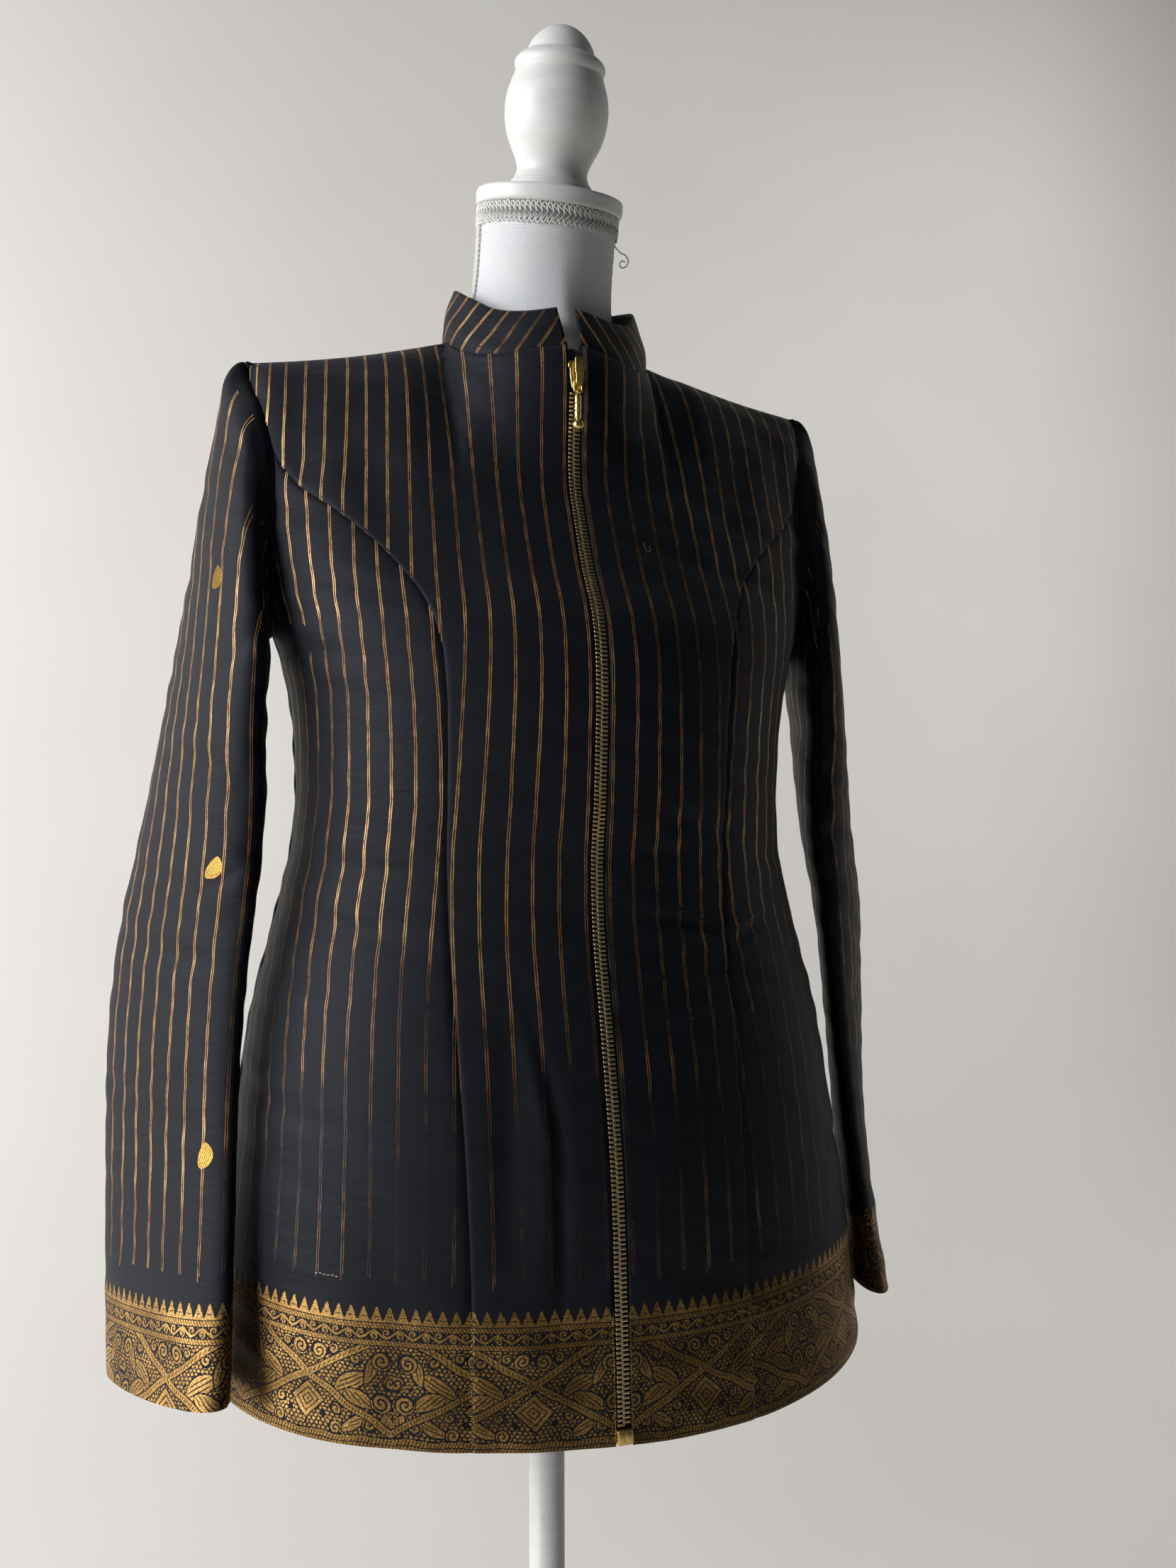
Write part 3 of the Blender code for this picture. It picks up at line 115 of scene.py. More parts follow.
# Creases pressed and pulled into the cloth, soft troughs and ridges
# side and face: x, height, angle in degrees, half length, half width, depth (inwards is positive)
bodyCreases = {
    (1, "front"): (
        (0.052, 0.262, -14.0, 0.030, 0.0045, 0.0024),
        (0.048, 0.268, -12.0, 0.030, 0.0050, -0.0014),
        (0.045, 0.240, 5.0, 0.034, 0.0048, 0.0012),
        (0.040, 0.218, 3.0, 0.038, 0.0050, 0.0013),
        (0.050, 0.196, -4.0, 0.032, 0.0050, 0.0011),
        (0.038, 0.176, 2.0, 0.034, 0.0052, 0.0010),
        (0.030, 0.300, 8.0, 0.026, 0.0045, 0.0011),
        (0.056, 0.318, -6.0, 0.022, 0.0045, 0.0009),
        (0.120, 0.270, -8.0, 0.026, 0.0060, 0.0014),
        (0.126, 0.296, 4.0, 0.024, 0.0060, 0.0012),
        (0.108, 0.515, 60.0, 0.046, 0.0130, 0.0022),
        (0.050, 0.560, -28.0, 0.030, 0.0090, 0.0011),
        (0.100, 0.255, 22.0, 0.022, 0.0030, 0.0020),
        (0.096, 0.261, 22.0, 0.020, 0.0034, -0.0010),
        (0.060, 0.232, 6.0, 0.036, 0.0042, 0.0013),
        (0.034, 0.206, -5.0, 0.030, 0.0042, 0.0012),
        (0.062, 0.172, 4.0, 0.030, 0.0046, 0.0010),
        (0.046, 0.150, -3.0, 0.030, 0.0046, 0.0008),
    ),
    (-1, "front"): (
        (0.030, 0.150, 86.0, 0.060, 0.0050, 0.0018),
        (0.036, 0.156, 87.0, 0.056, 0.0055, -0.0014),
        (0.035, 0.275, 3.0, 0.034, 0.0055, 0.0010),
        (0.045, 0.250, -4.0, 0.030, 0.0055, 0.0009),
        (0.040, 0.228, 5.0, 0.036, 0.0060, 0.0009),
        (0.034, 0.300, -3.0, 0.030, 0.0055, 0.0009),
        (0.120, 0.292, 6.0, 0.028, 0.0060, 0.0013),
        (0.116, 0.262, -5.0, 0.026, 0.0065, 0.0011),
        (0.108, 0.500, 66.0, 0.050, 0.0170, 0.0026),
        (0.070, 0.470, 78.0, 0.050, 0.0150, 0.0012),
        (0.138, 0.532, 140.0, 0.034, 0.0090, 0.0016),
        (0.128, 0.546, 140.0, 0.034, 0.0090, -0.0010),
        (0.058, 0.556, 40.0, 0.034, 0.0130, 0.0010),
        (0.112, 0.045, 88.0, 0.070, 0.0130, 0.0016),
        (0.020, 0.040, 92.0, 0.050, 0.0100, 0.0012),
        (0.030, 0.100, 87.0, 0.045, 0.0040, 0.0013),
        (0.052, 0.052, 80.0, 0.050, 0.0120, -0.0010),
        (0.050, 0.206, 4.0, 0.034, 0.0050, 0.0009),
        (0.040, 0.180, -3.0, 0.030, 0.0050, 0.0008),
    ),
    (-1, "back"): (
        (0.060, 0.330, 4.0, 0.060, 0.0070, 0.0018),
        (0.070, 0.300, -6.0, 0.050, 0.0065, 0.0016),
        (0.110, 0.470, 58.0, 0.050, 0.0100, 0.0022),
        (0.080, 0.150, 82.0, 0.080, 0.0120, 0.0022),
    ),
    (1, "back"): (
        (0.060, 0.312, -5.0, 0.060, 0.0070, 0.0018),
        (0.072, 0.284, 5.0, 0.050, 0.0065, 0.0015),
        (0.050, 0.350, 7.0, 0.044, 0.0060, 0.0012),
        (0.112, 0.466, 60.0, 0.050, 0.0100, 0.0020),
        (0.090, 0.130, 95.0, 0.080, 0.0120, 0.0020),
    ),
}
sleeveRows = (  # height, centre x, centre y, half depth, half thickness, turn in degrees, tilt
    (0.400, 0.1946, 0.0125, 0.0577, 0.0174, 21.5, 0.00),
    (0.370, 0.1983, 0.0134, 0.0575, 0.0176, 24.0, 0.00),
    (0.340, 0.2010, 0.0138, 0.0579, 0.0180, 27.5, 0.00),
    (0.300, 0.2062, 0.0142, 0.0592, 0.0169, 32.0, 0.03),
    (0.260, 0.2130, 0.0138, 0.0602, 0.0150, 34.5, 0.06),
    (0.220, 0.2178, 0.0118, 0.0604, 0.0138, 35.5, 0.09),
    (0.180, 0.2204, 0.0070, 0.0600, 0.0135, 35.5, 0.12),
    (0.140, 0.2214, 0.0000, 0.0600, 0.0128, 34.5, 0.13),
    (0.100, 0.2218, -0.0100, 0.0597, 0.0128, 33.5, 0.13),
    (0.060, 0.2222, -0.0220, 0.0590, 0.0136, 32.0, 0.13),
    (0.018, 0.2221, -0.0360, 0.0580, 0.0155, 29.5, 0.13),
)
sleeveFolds = {  # side: height, angle, half height, half angle, depth, slope
    -1: (
        (0.335, 20.0, 0.010, 30.0, 0.0022, 0.05),
        (0.300, 5.0, 0.009, 34.0, 0.0026, -0.04),
        (0.262, 25.0, 0.011, 28.0, 0.0018, 0.06),
        (0.318, 190.0, 0.012, 30.0, 0.0016, 0.03),
        (0.385, 300.0, 0.012, 34.0, 0.0020, 0.04),
    ),
    1: (
        (0.345, 12.0, 0.011, 32.0, 0.0024, -0.05),
        (0.306, 18.0, 0.009, 30.0, 0.0022, 0.05),
        (0.270, 350.0, 0.010, 30.0, 0.0019, -0.03),
        (0.300, 185.0, 0.012, 30.0, 0.0018, 0.02),
        (0.378, 295.0, 0.012, 34.0, 0.0018, -0.04),
    ),
}
sleeveCreases = {  # side: height, angle, half height, half angle, depth, slope
    -1: (
        (0.352, 60.0, 0.0060, 26.0, 0.0011, 0.20),
        (0.286, 40.0, 0.0055, 24.0, 0.0012, -0.16),
        (0.240, 60.0, 0.0070, 30.0, 0.0010, 0.12),
        (0.410, 35.0, 0.0080, 22.0, 0.0012, -0.20),
        (0.460, 120.0, 0.0100, 26.0, 0.0012, 0.15),
        (0.170, 130.0, 0.0080, 26.0, 0.0010, 0.10),
    ),
    1: (
        (0.330, 55.0, 0.0060, 26.0, 0.0013, -0.18),
        (0.288, 70.0, 0.0055, 28.0, 0.0014, 0.14),
        (0.252, 50.0, 0.0065, 26.0, 0.0013, -0.10),
        (0.200, 60.0, 0.0090, 30.0, 0.0014, 0.10),
        (0.400, 140.0, 0.0090, 26.0, 0.0012, 0.16),
    ),
}
collarTopRows = (
    (0.0, 0.6165), (25.0, 0.613), (45.0, 0.616), (65.0, 0.627), (90.0, 0.64), (135.0, 0.65),
    (180.0, 0.654),
)
collarTopHalf = 0.0565
collarTopDepth = 0.0545
necklineHalf = 0.064
necklineFront = 0.064
necklineBack = 0.056
shoulderHalf = 0.177
armholeRoom = 0.0015


def tableAt(rows, where):
    # smooth values of a table by its first column
    rows = np.array(rows, float)
    if rows[0, 0] > rows[-1, 0]:
        rows = rows[::-1]
    last = len(rows) - 1
    where = np.clip(np.asarray(where, float), rows[0, 0], rows[-1, 0])
    index = np.clip(np.searchsorted(rows[:, 0], where, side="left") - 1, 0, last - 1)
    before, start = rows[np.maximum(index - 1, 0)], rows[index]
    end, after = rows[index + 1], rows[np.minimum(index + 2, last)]
    span = end[..., :1] - start[..., :1]
    step = (where[..., None] - start[..., :1]) / span
    slopeStart = (end - before)[..., 1:] / (end - before)[..., :1] * span
    slopeEnd = (after - start)[..., 1:] / (after - start)[..., :1] * span
    return np.moveaxis(hermite(start[..., 1:], slopeStart, end[..., 1:], slopeEnd, step), -1, 0)


def hermite(start, slopeStart, end, slopeEnd, step):
    square = step * step
    cube = square * step
    return ((2 * cube - 3 * square + 1) * start + (cube - 2 * square + step) * slopeStart
            + (3 * square - 2 * cube) * end + (cube - square) * slopeEnd)


def bump(distance, half):
    return np.exp(-1.5 * (distance / half) ** 2)


def unit(vectors):
    return vectors / np.maximum(np.linalg.norm(vectors, axis=-1, keepdims=True), 1e-12)


def sectionPoint(across, height, face, ease=(0.0, 0.0, 0.0)):
    halfWidth, sideY, frontY, backY, roundness = tableAt(bodyRows, height)
    edgeY = frontY + ease[1] if face == "front" else backY - ease[2]
    turn = across * math.pi / 2
    x = (halfWidth - ease[0]) * np.sin(turn) ** (2 / roundness)
    y = sideY + (edgeY - sideY) * np.maximum(np.cos(turn), 0.0) ** (2 / roundness)
    return np.stack([x, y, height + 0.0 * x], -1)


def acrossOfX(x, height):
    halfWidth, _, _, _, roundness = tableAt(bodyRows, np.minimum(height, chestHeight))
    share = np.clip(x / halfWidth, 0.0, 1.0)
    return np.arcsin(share ** (roundness / 2)) / (math.pi / 2)


def necklinePoint(angle, shrink=0.0, drop=0.0):
    angle = np.asarray(angle, float)
    turn = np.radians(angle)
    depth = np.where(angle <= 90.0, necklineFront, necklineBack)
    x = (necklineHalf - shrink) * np.sin(turn)
    y = -(depth - shrink) * np.cos(turn)
    return np.stack([x, y, tableAt(necklineRows, angle)[0] - drop], -1)


def topPoint(x, face, shrink=0.0, drop=0.0):
    reach = necklineHalf - shrink
    angle = np.degrees(np.arcsin(np.clip(x / reach, 0.0, 1.0)))
    neck = necklinePoint(180.0 - angle if face == "back" else angle, shrink, drop)
    share = np.maximum((x - necklineHalf) / (shoulderHalf - necklineHalf), -0.1)
    sideZ = 0.607
    rise = 0.0025 * np.sin(np.pi * np.clip(share, 0.0, 1.0))
    z = sideZ + (0.586 - sideZ) * share - rise - drop * (1.0 + 3.6 * np.maximum(share, 0.0))
    return np.where((x < reach)[..., None], neck, np.stack([x, 0.010 * share, z], -1))


def bodyPoint(across, height, face, ease=(0.0, 0.0, 0.0), shrink=0.0, drop=0.0):
    across = np.asarray(across, float)
    height = np.asarray(height, float) + 0.0 * across
    low = sectionPoint(across, np.minimum(height, chestHeight), face, ease)
    start = sectionPoint(across, np.full_like(across, chestHeight), face, ease)
    below = sectionPoint(across, np.full_like(across, chestHeight - 0.01), face, ease)
    end = topPoint(start[..., 0], face, shrink, drop)
    length = np.linalg.norm(end - start, axis=-1, keepdims=True)
    leave = unit(start - below)
    leave[..., 0] = 0.0
    sign = 1.0 if face == "front" else -1.0
    neckShare = (1.0 - np.clip((start[..., 0] - 0.045) / 0.045, 0.0, 1.0))[..., None]
    arrive = (1 - neckShare) * np.array([0.0, 0.97 * sign, 0.24])
    arrive = arrive + neckShare * np.array([0.0, 0.22 * sign, 0.97])
    sideShare = np.clip((across - 0.80) / 0.20, 0.0, 1.0)[..., None]
    arrive = (1 - sideShare) * arrive + sideShare * np.array([0.0, 0.3 * sign, 0.95])
    step = ((height - chestHeight) / (topHeight - chestHeight))[..., None]
    high = hermite(start, leave * length, end, arrive * length, step)
    high[..., 0] = start[..., 0]
    return np.where((height <= chestHeight)[..., None], low, high)


def bodyNormal(across, height, face):
    small = 0.004
    sideWay = (bodyPoint(np.minimum(across + small, 1.0), height, face)
               - bodyPoint(np.maximum(across - small, 0.0), height, face))
    upWay = (bodyPoint(across, np.minimum(height + small, topHeight), face)
             - bodyPoint(across, np.maximum(height - small, 0.0), face))
    normal = np.cross(sideWay, upWay)
    if face == "back":
        normal = -normal
    normal[..., 0] = np.where(across < 1.5 * small, 0.0, normal[..., 0])
    x = bodyPoint(across, height, face)[..., 0]
    shoulder = (height > topHeight - small) & (x >= necklineHalf - small)
    normal[..., 1] = np.where((across > 1.0 - 1.5 * small) | shoulder, 0.0, normal[..., 1])
    return unit(normal)


def hemLift(x, height):
    share = np.clip((0.08 - x) / 0.21, 0.0, 1.0)
    fade = np.maximum(1.0 - height / 0.32, 0.0) ** 1.4
    return 0.0105 * share * share * (3 - 2 * share) * fade


rippleRandom = np.random.default_rng(7)
ripples = [  # faint uneven waves that no pressing takes out of silk
    (rippleRandom.uniform(35, 120), rippleRandom.uniform(70, 330), rippleRandom.uniform(0, 6.28))
    for _ in range(10)
]


def rippleDepth(x, z, amount=0.00010):
    total = 0.0
    for alongX, alongZ, phase in ripples:
        total = total + np.sin(alongX * x * (1.0 + 0.3 * np.sin(9.0 * z + phase)) + alongZ * z + phase)
    return amount * total


def bodyDepth(side, face, across, height, base):
    depth = np.zeros_like(height)
    for rowAcross, rowHeight, halfAcross, halfHeight, amount in bodyFolds[side, face]:
        depth += amount * bump(across - rowAcross, halfAcross) * bump(height - rowHeight, halfHeight)
    for x, z, angle, halfLength, halfWidth, amount in bodyCreases[side, face]:
        turn = math.radians(angle)
        along = (base[..., 0] - x) * math.cos(turn) + (height - z) * math.sin(turn)
        away = -(base[..., 0] - x) * math.sin(turn) + (height - z) * math.cos(turn)
        away = away + 0.10 * along ** 2 / halfLength
        depth += amount * np.exp(-((along / halfLength) ** 2)) * np.exp(-((away / halfWidth) ** 2))
    fade = np.clip((0.60 - height) / 0.02, 0.0, 1.0)
    return depth + fade * rippleDepth(side * base[..., 0] + (0.4 if face == "back" else 0.0), height)


def armholePlace(angle):
    turn = np.radians(np.asarray(angle, float))
    height = 0.5125 + 0.0875 * np.sin(turn)
    power = np.where(np.sin(turn) > 0, 3.0, 1.3)
    return 1.0 - 0.26 * np.abs(np.cos(turn)) ** power, height


princessArmholeAngle = 8.0


def princessPoint(share):
    knots = [(float(acrossOfX(np.array(x), np.array(height))), height) for height, x in princessCurveRows]
    across, height = armholePlace(princessArmholeAngle)
    knots.append((float(across), float(height)))
    rows = [(index / (len(knots) - 1), *knot) for index, knot in enumerate(knots)]
    return tableAt(rows, share)


def fillPlaces(bottom, top, left, right):
    bottom, top, left, right = (np.array(edge, float) for edge in (bottom, top, left, right))
    up = np.linspace(0, 1, len(left))[:, None, None]
    over = np.linspace(0, 1, len(bottom))[None, :, None]
    edges = (1 - up) * bottom[None] + up * top[None] + (1 - over) * left[:, None] + over * right[:, None]
    leftCorners = (1 - up) * bottom[0] + up * top[0]
    rightCorners = (1 - up) * bottom[-1] + up * top[-1]
    return edges - ((1 - over) * leftCorners + over * rightCorners)


def relaxed(grid):
    # evens the inside of a grid with 800 passes of smoothing
    for _ in range(800):
        grid[1:-1, 1:-1] = 0.25 * (grid[:-2, 1:-1] + grid[2:, 1:-1] + grid[1:-1, :-2] + grid[1:-1, 2:])
    return grid


lowerTop = 0.41
lowerHeights = np.linspace(0.0, lowerTop, 138)
upperRows = 64


def straightRows(left, right, columns):
    share = np.linspace(0, 1, columns)[None, :]
    across = left[:, None] * (1 - share) + right[:, None] * share
    return np.stack([across, np.repeat(lowerHeights[:, None], columns, 1)], -1)


def pairs(across, height):
    return [(float(a), float(h)) for a, h in zip(np.atleast_1d(across), np.atleast_1d(height))]


def princessAcross(height):
    return acrossOfX(tableAt(princessRows, height)[0], height)


def topEdge(firstAngles, armAngles):
    # along the neckline, over the shoulder and down the armhole
    x = necklineHalf * np.sin(np.radians(firstAngles))
    edge = pairs(acrossOfX(x, chestHeight), topHeight + 0 * firstAngles)
    shares = np.linspace(0, 1, 18)[1:-1]
    x = necklineHalf + (shoulderHalf - necklineHalf) * shares
    edge += pairs(acrossOfX(x, chestHeight), topHeight + 0 * x)
    across, height = armholePlace(armAngles)
    edge += pairs(across - armholeRoom, np.minimum(height, topHeight))
    return edge


zipOpeningHalf = 0.0045


def centreFrontPlaces():
    necks = np.linspace(np.degrees(np.arcsin(zipOpeningHalf / necklineHalf)), 90, 30)
    top = topEdge(necks, np.linspace(90, princessArmholeAngle, 17))
    left = acrossOfX(np.full_like(lowerHeights, zipOpeningHalf), lowerHeights)
    lower = straightRows(left, princessAcross(lowerHeights), len(top))
    heights = np.linspace(lowerTop, topHeight, upperRows)
    opening = acrossOfX(np.full_like(heights, zipOpeningHalf), np.minimum(heights, chestHeight))
    leftEdge = pairs(opening, heights)
    rightEdge = pairs(*princessPoint(np.linspace(0, 1, upperRows)))
    leftEdge[-1], rightEdge[-1] = top[0], top[-1]
    upper = relaxed(fillPlaces(lower[-1], top, leftEdge, rightEdge))
    return np.concatenate([lower, upper[1:]], 0)


def sideFrontPlaces():
    across, height = armholePlace(np.linspace(princessArmholeAngle, -90, 34))
    top = pairs(across - armholeRoom * (np.arange(34) > 0), height)
    lower = straightRows(princessAcross(lowerHeights), np.ones_like(lowerHeights), len(top))
    leftEdge = pairs(*princessPoint(np.linspace(0, 1, upperRows)))
    heights = np.linspace(lowerTop, top[-1][1], upperRows)
    rightEdge = pairs(np.ones_like(heights), heights)
    top[-1] = rightEdge[-1]
    leftEdge[-1] = top[0]
    upper = fillPlaces(lower[-1], top, leftEdge, rightEdge)
    return np.concatenate([lower, upper[1:]], 0)


def backPlaces():
    top = topEdge(np.linspace(0, 90, 31), np.linspace(90, 270, 44))
    lower = straightRows(np.zeros_like(lowerHeights), np.ones_like(lowerHeights), len(top))
    heights = np.linspace(lowerTop, topHeight, upperRows)
    leftEdge = pairs(np.zeros_like(heights), heights)
    heights = np.linspace(lowerTop, top[-1][1], upperRows)
    rightEdge = pairs(np.ones_like(heights), heights)
    leftEdge[-1], top[-1] = top[0], rightEdge[-1]
    upper = fillPlaces(lower[-1], top, leftEdge, rightEdge)
    return np.concatenate([lower, upper[1:]], 0)


def arcTable(face):
    # distance round the body from its centre line, by across and height
    across = np.linspace(0, 1, 241)[None, :] + np.zeros((151, 1))
    height = np.linspace(0, topHeight, 151)[:, None] + np.zeros((1, 241))
    points = bodyPoint(across, height, face)
    steps = np.linalg.norm(np.diff(points[..., :2], axis=1), axis=-1)
    return np.concatenate([np.zeros((151, 1)), np.cumsum(steps, 1)], 1)


arcTables = {"front": arcTable("front"), "back": arcTable("back")}


def arcLength(face, across, height):
    table = arcTables[face]
    a = np.clip(across, 0, 1) * (table.shape[1] - 1)
    h = np.clip(height / topHeight, 0, 1) * (table.shape[0] - 1)
    a0 = np.minimum(a.astype(int), table.shape[1] - 2)
    h0 = np.minimum(h.astype(int), table.shape[0] - 2)
    fa, fh = a - a0, h - h0
    low = table[h0, a0] * (1 - fa) + table[h0, a0 + 1] * fa
    high = table[h0 + 1, a0] * (1 - fa) + table[h0 + 1, a0 + 1] * fa
    return low * (1 - fh) + high * fh


# Materials


class NodeMaker:
    # shorthand for the node trees of this script's materials

    def __init__(self, name, baseColor, roughness, metallic=0.0):
        self.material = bpy.data.materials.new(name)
        self.material.use_nodes = True
        self.nodes = self.material.node_tree.nodes
        self.links = self.material.node_tree.links
        self.shader = self.nodes["Principled BSDF"]
        self.shader.inputs["Base Color"].default_value = (*baseColor, 1.0)
        self.shader.inputs["Roughness"].default_value = roughness
        self.shader.inputs["Metallic"].default_value = metallic

    def set(self, name, value):
        self.shader.inputs[name].default_value = value
        return self

    def link(self, value, socket):
        if hasattr(value, "is_linked"):
            self.links.new(value, socket)
        else:
            socket.default_value = value

    def math(self, operation, a, b=0.0, c=0.0):
        node = self.nodes.new("ShaderNodeMath")
        node.operation = operation
        for socket, value in zip(node.inputs, (a, b, c)):
            self.link(value, socket)
        return node.outputs[0]

    def times(self, a, b):
        return self.math("MULTIPLY", a, b)

    def blend(self, one, other, share):
        return self.math("ADD", self.times(one, share), self.times(other, 1.0 - share))

    def coordinates(self, uvName=None):
        if uvName:
            node = self.nodes.new("ShaderNodeUVMap")
            node.uv_map = uvName
            vector = node.outputs["UV"]
        else:
            vector = self.nodes.new("ShaderNodeTexCoord").outputs["Object"]
        split = self.nodes.new("ShaderNodeSeparateXYZ")
        self.links.new(vector, split.inputs[0])
        return vector, split.outputs

    def scaled(self, vector, scale, turn=0.0):
        node = self.nodes.new("ShaderNodeMapping")
        self.links.new(vector, node.inputs["Vector"])
        node.inputs["Scale"].default_value = scale
        node.inputs["Rotation"].default_value = (0.0, 0.0, turn)
        return node.outputs[0]

    def noise(self, vector, scale, detail=3.0, rough=0.55):
        node = self.nodes.new("ShaderNodeTexNoise")
        self.links.new(vector, node.inputs["Vector"])
        node.inputs["Scale"].default_value = scale
        node.inputs["Detail"].default_value = detail
        node.inputs["Roughness"].default_value = rough
        return node.outputs["Fac"]

    def ramp(self, value, stops):
        node = self.nodes.new("ShaderNodeValToRGB")
        self.link(value, node.inputs["Fac"])
        elements = node.color_ramp.elements
        while len(elements) < len(stops):
            elements.new(0.5)
        for element, (place, colour) in zip(elements, stops):
            element.position = place
            element.color = (*colour, 1.0)
        return node.outputs["Color"]

    def range(self, value, low, high, fromLow=0.0, fromHigh=1.0):
        node = self.nodes.new("ShaderNodeMapRange")
        self.link(value, node.inputs["Value"])
        node.inputs["From Min"].default_value = fromLow
        node.inputs["From Max"].default_value = fromHigh
        node.inputs["To Min"].default_value = low
        node.inputs["To Max"].default_value = high
        return node.outputs["Result"]

    def mixed(self, blend, factor, one, other):
        node = self.nodes.new("ShaderNodeMix")
        node.data_type, node.blend_type = "RGBA", blend
        self.link(factor, node.inputs["Factor"])
        for name, value in (("A", one), ("B", other)):
            self.link(value, [s for s in node.inputs if s.name == name and s.type == "RGBA"][0])
        return [s for s in node.outputs if s.type == "RGBA"][0]

    def weave(self, u, v, pitchU, pitchV):
        # threads that pass over and under each other
        a = self.times(u, math.pi / pitchU)
        b = self.times(v, math.pi / pitchV)
        sines = self.times(self.math("SINE", a), self.math("SINE", b))
        over = self.math("ABSOLUTE", self.math("SINE", a))
        under = self.math("ABSOLUTE", self.math("SINE", b))
        pick = self.math("GREATER_THAN", sines, 0.0)
        rest = self.math("SUBTRACT", 1.0, pick)
        return self.math("ADD", self.times(pick, over), self.times(rest, under))

    def bumpFrom(self, *layers):
        # each layer is a height in metres
        total = layers[0]
        for layer in layers[1:]:
            total = self.math("ADD", total, layer)
        node = self.nodes.new("ShaderNodeBump")
        node.inputs["Distance"].default_value = 1.0
        self.links.new(total, node.inputs["Height"])
        self.links.new(node.outputs[0], self.shader.inputs["Normal"])
        return self

    def color(self, socket):
        self.links.new(socket, self.shader.inputs["Base Color"])
        return self

    def rough(self, socket):
        self.links.new(socket, self.shader.inputs["Roughness"])
        return self


def makeSilk():
    m = NodeMaker("navySilk", (0.012, 0.014, 0.024), 0.55)
    vector, (u, v, _) = m.coordinates("cloth")
    slub = m.noise(m.scaled(vector, (60, 1400, 1)), 1.0, 2.0)
    cloud = m.noise(vector, 22.0, 3.0)
    m.color(m.ramp(m.blend(slub, cloud, 0.6),
                   [(0.25, (0.0022, 0.0026, 0.0050)), (0.75, (0.0078, 0.0088, 0.0145))]))
    weave = m.times(m.weave(u, v, 0.00042, 0.00036), 0.000035)
    ribs = m.times(slub, 0.00010)
    crinkle = m.times(m.noise(m.scaled(vector, (34, 190, 1)), 1.0, 3.0), 0.00060)
    m.bumpFrom(weave, ribs, crinkle)
    m.rough(m.range(slub, 0.50, 0.66))
    m.set("Sheen Weight", 0.035).set("Sheen Roughness", 0.40).set("Sheen Tint", (0.55, 0.62, 0.80, 1.0))
    m.set("Specular IOR Level", 0.24).set("Specular Tint", (0.88, 0.92, 1.0, 1.0))
    return m.material


def makePinstripe():
    m = NodeMaker("copperGoldThread", (0.42, 0.25, 0.12), 0.45, 0.45)
    vector, (x, _, z) = m.coordinates()
    patch = m.noise(m.scaled(vector, (12, 12, 9)), 1.0, 2.0)
    twist = m.noise(m.scaled(vector, (240, 240, 150)), 1.0, 2.0)
    mix = m.blend(patch, twist, 0.72)
    # painted light: the stripes are painted brighter high on the body and down the sleeves, painted shade
    # dims them low on the body, and noise patches add painted glints
    low = m.range(m.math("ADD", z, m.times(patch, 0.20)), -0.17, 0.05, 1.02, 1.22)
    sleeve = m.range(m.math("ABSOLUTE", x), 0.0, 0.20, 0.192, 0.204)
    glint = m.range(m.noise(m.scaled(vector, (9, 9, 16)), 1.0, 1.0), 0.0, 0.16, 0.56, 0.66)
    place = m.math("ADD", m.math("MINIMUM", m.math("ADD", low, sleeve), 0.05), glint)
    tone = m.ramp(m.math("ADD", mix, place), [
        (0.30, (0.030, 0.024, 0.020)), (0.44, (0.150, 0.085, 0.045)),
        (0.56, (0.38, 0.215, 0.090)), (0.70, (0.66, 0.42, 0.19))])
    shimmer = m.ramp(m.noise(m.scaled(vector, (700, 700, 260)), 1.0, 1.0), [
        (0.34, (0.75, 0.18, 0.14)), (0.44, (1.0, 0.95, 0.85)),
        (0.58, (1.0, 0.95, 0.85)), (0.68, (0.35, 0.80, 0.52))])
    m.color(m.mixed("MULTIPLY", 0.75, tone, shimmer))
    m.bumpFrom(m.times(m.math("SINE", m.times(z, 6283.0 / 0.9)), 0.00004))
    return m.material


def makeGoldThread(name, dark, middle, light):
    m = NodeMaker(name, middle, 0.44, 0.70)
    vector, (_, y, _) = m.coordinates("cloth")
    speck = m.noise(m.scaled(vector, (900, 1500, 1)), 1.0, 2.0)
    patch = m.noise(vector, 40.0, 2.0)
    m.color(m.ramp(m.blend(speck, patch, 0.7), [(0.32, dark), (0.50, middle), (0.68, light)]))
    rows = m.math("ABSOLUTE", m.math("SINE", m.times(y, math.pi / 0.00062)))
    m.bumpFrom(m.times(rows, 0.00010), m.times(speck, 0.00016))
    m.rough(m.range(speck, 0.38, 0.56))
    return m.material


def makeCanvas():
    m = NodeMaker("whiteCanvas", (0.78, 0.79, 0.80), 0.9)
    vector, (u, v, _) = m.coordinates("cloth")
    weave = m.weave(u, v, 0.00072, 0.00068)
    thread = m.noise(m.scaled(vector, (700, 700, 1)), 1.0, 2.0)
    m.color(m.ramp(m.blend(weave, thread, 0.7), [(0.15, (0.68, 0.69, 0.72)), (0.70, (0.92, 0.93, 0.95))]))
    m.bumpFrom(m.times(weave, 0.00022), m.times(thread, 0.00012))
    m.set("Sheen Weight", 0.15)
    return m.material


def makeBraidThread():
    m = NodeMaker("whiteGimp", (0.80, 0.79, 0.76), 0.62)
    vector, _ = m.coordinates()
    m.bumpFrom(m.times(m.noise(vector, 2600.0, 2.0), 0.00012))
    m.color(m.ramp(m.noise(vector, 700.0, 2.0), [(0.3, (0.66, 0.64, 0.60)), (0.7, (0.88, 0.87, 0.84))]))
    m.set("Sheen Weight", 0.25)
    return m.material


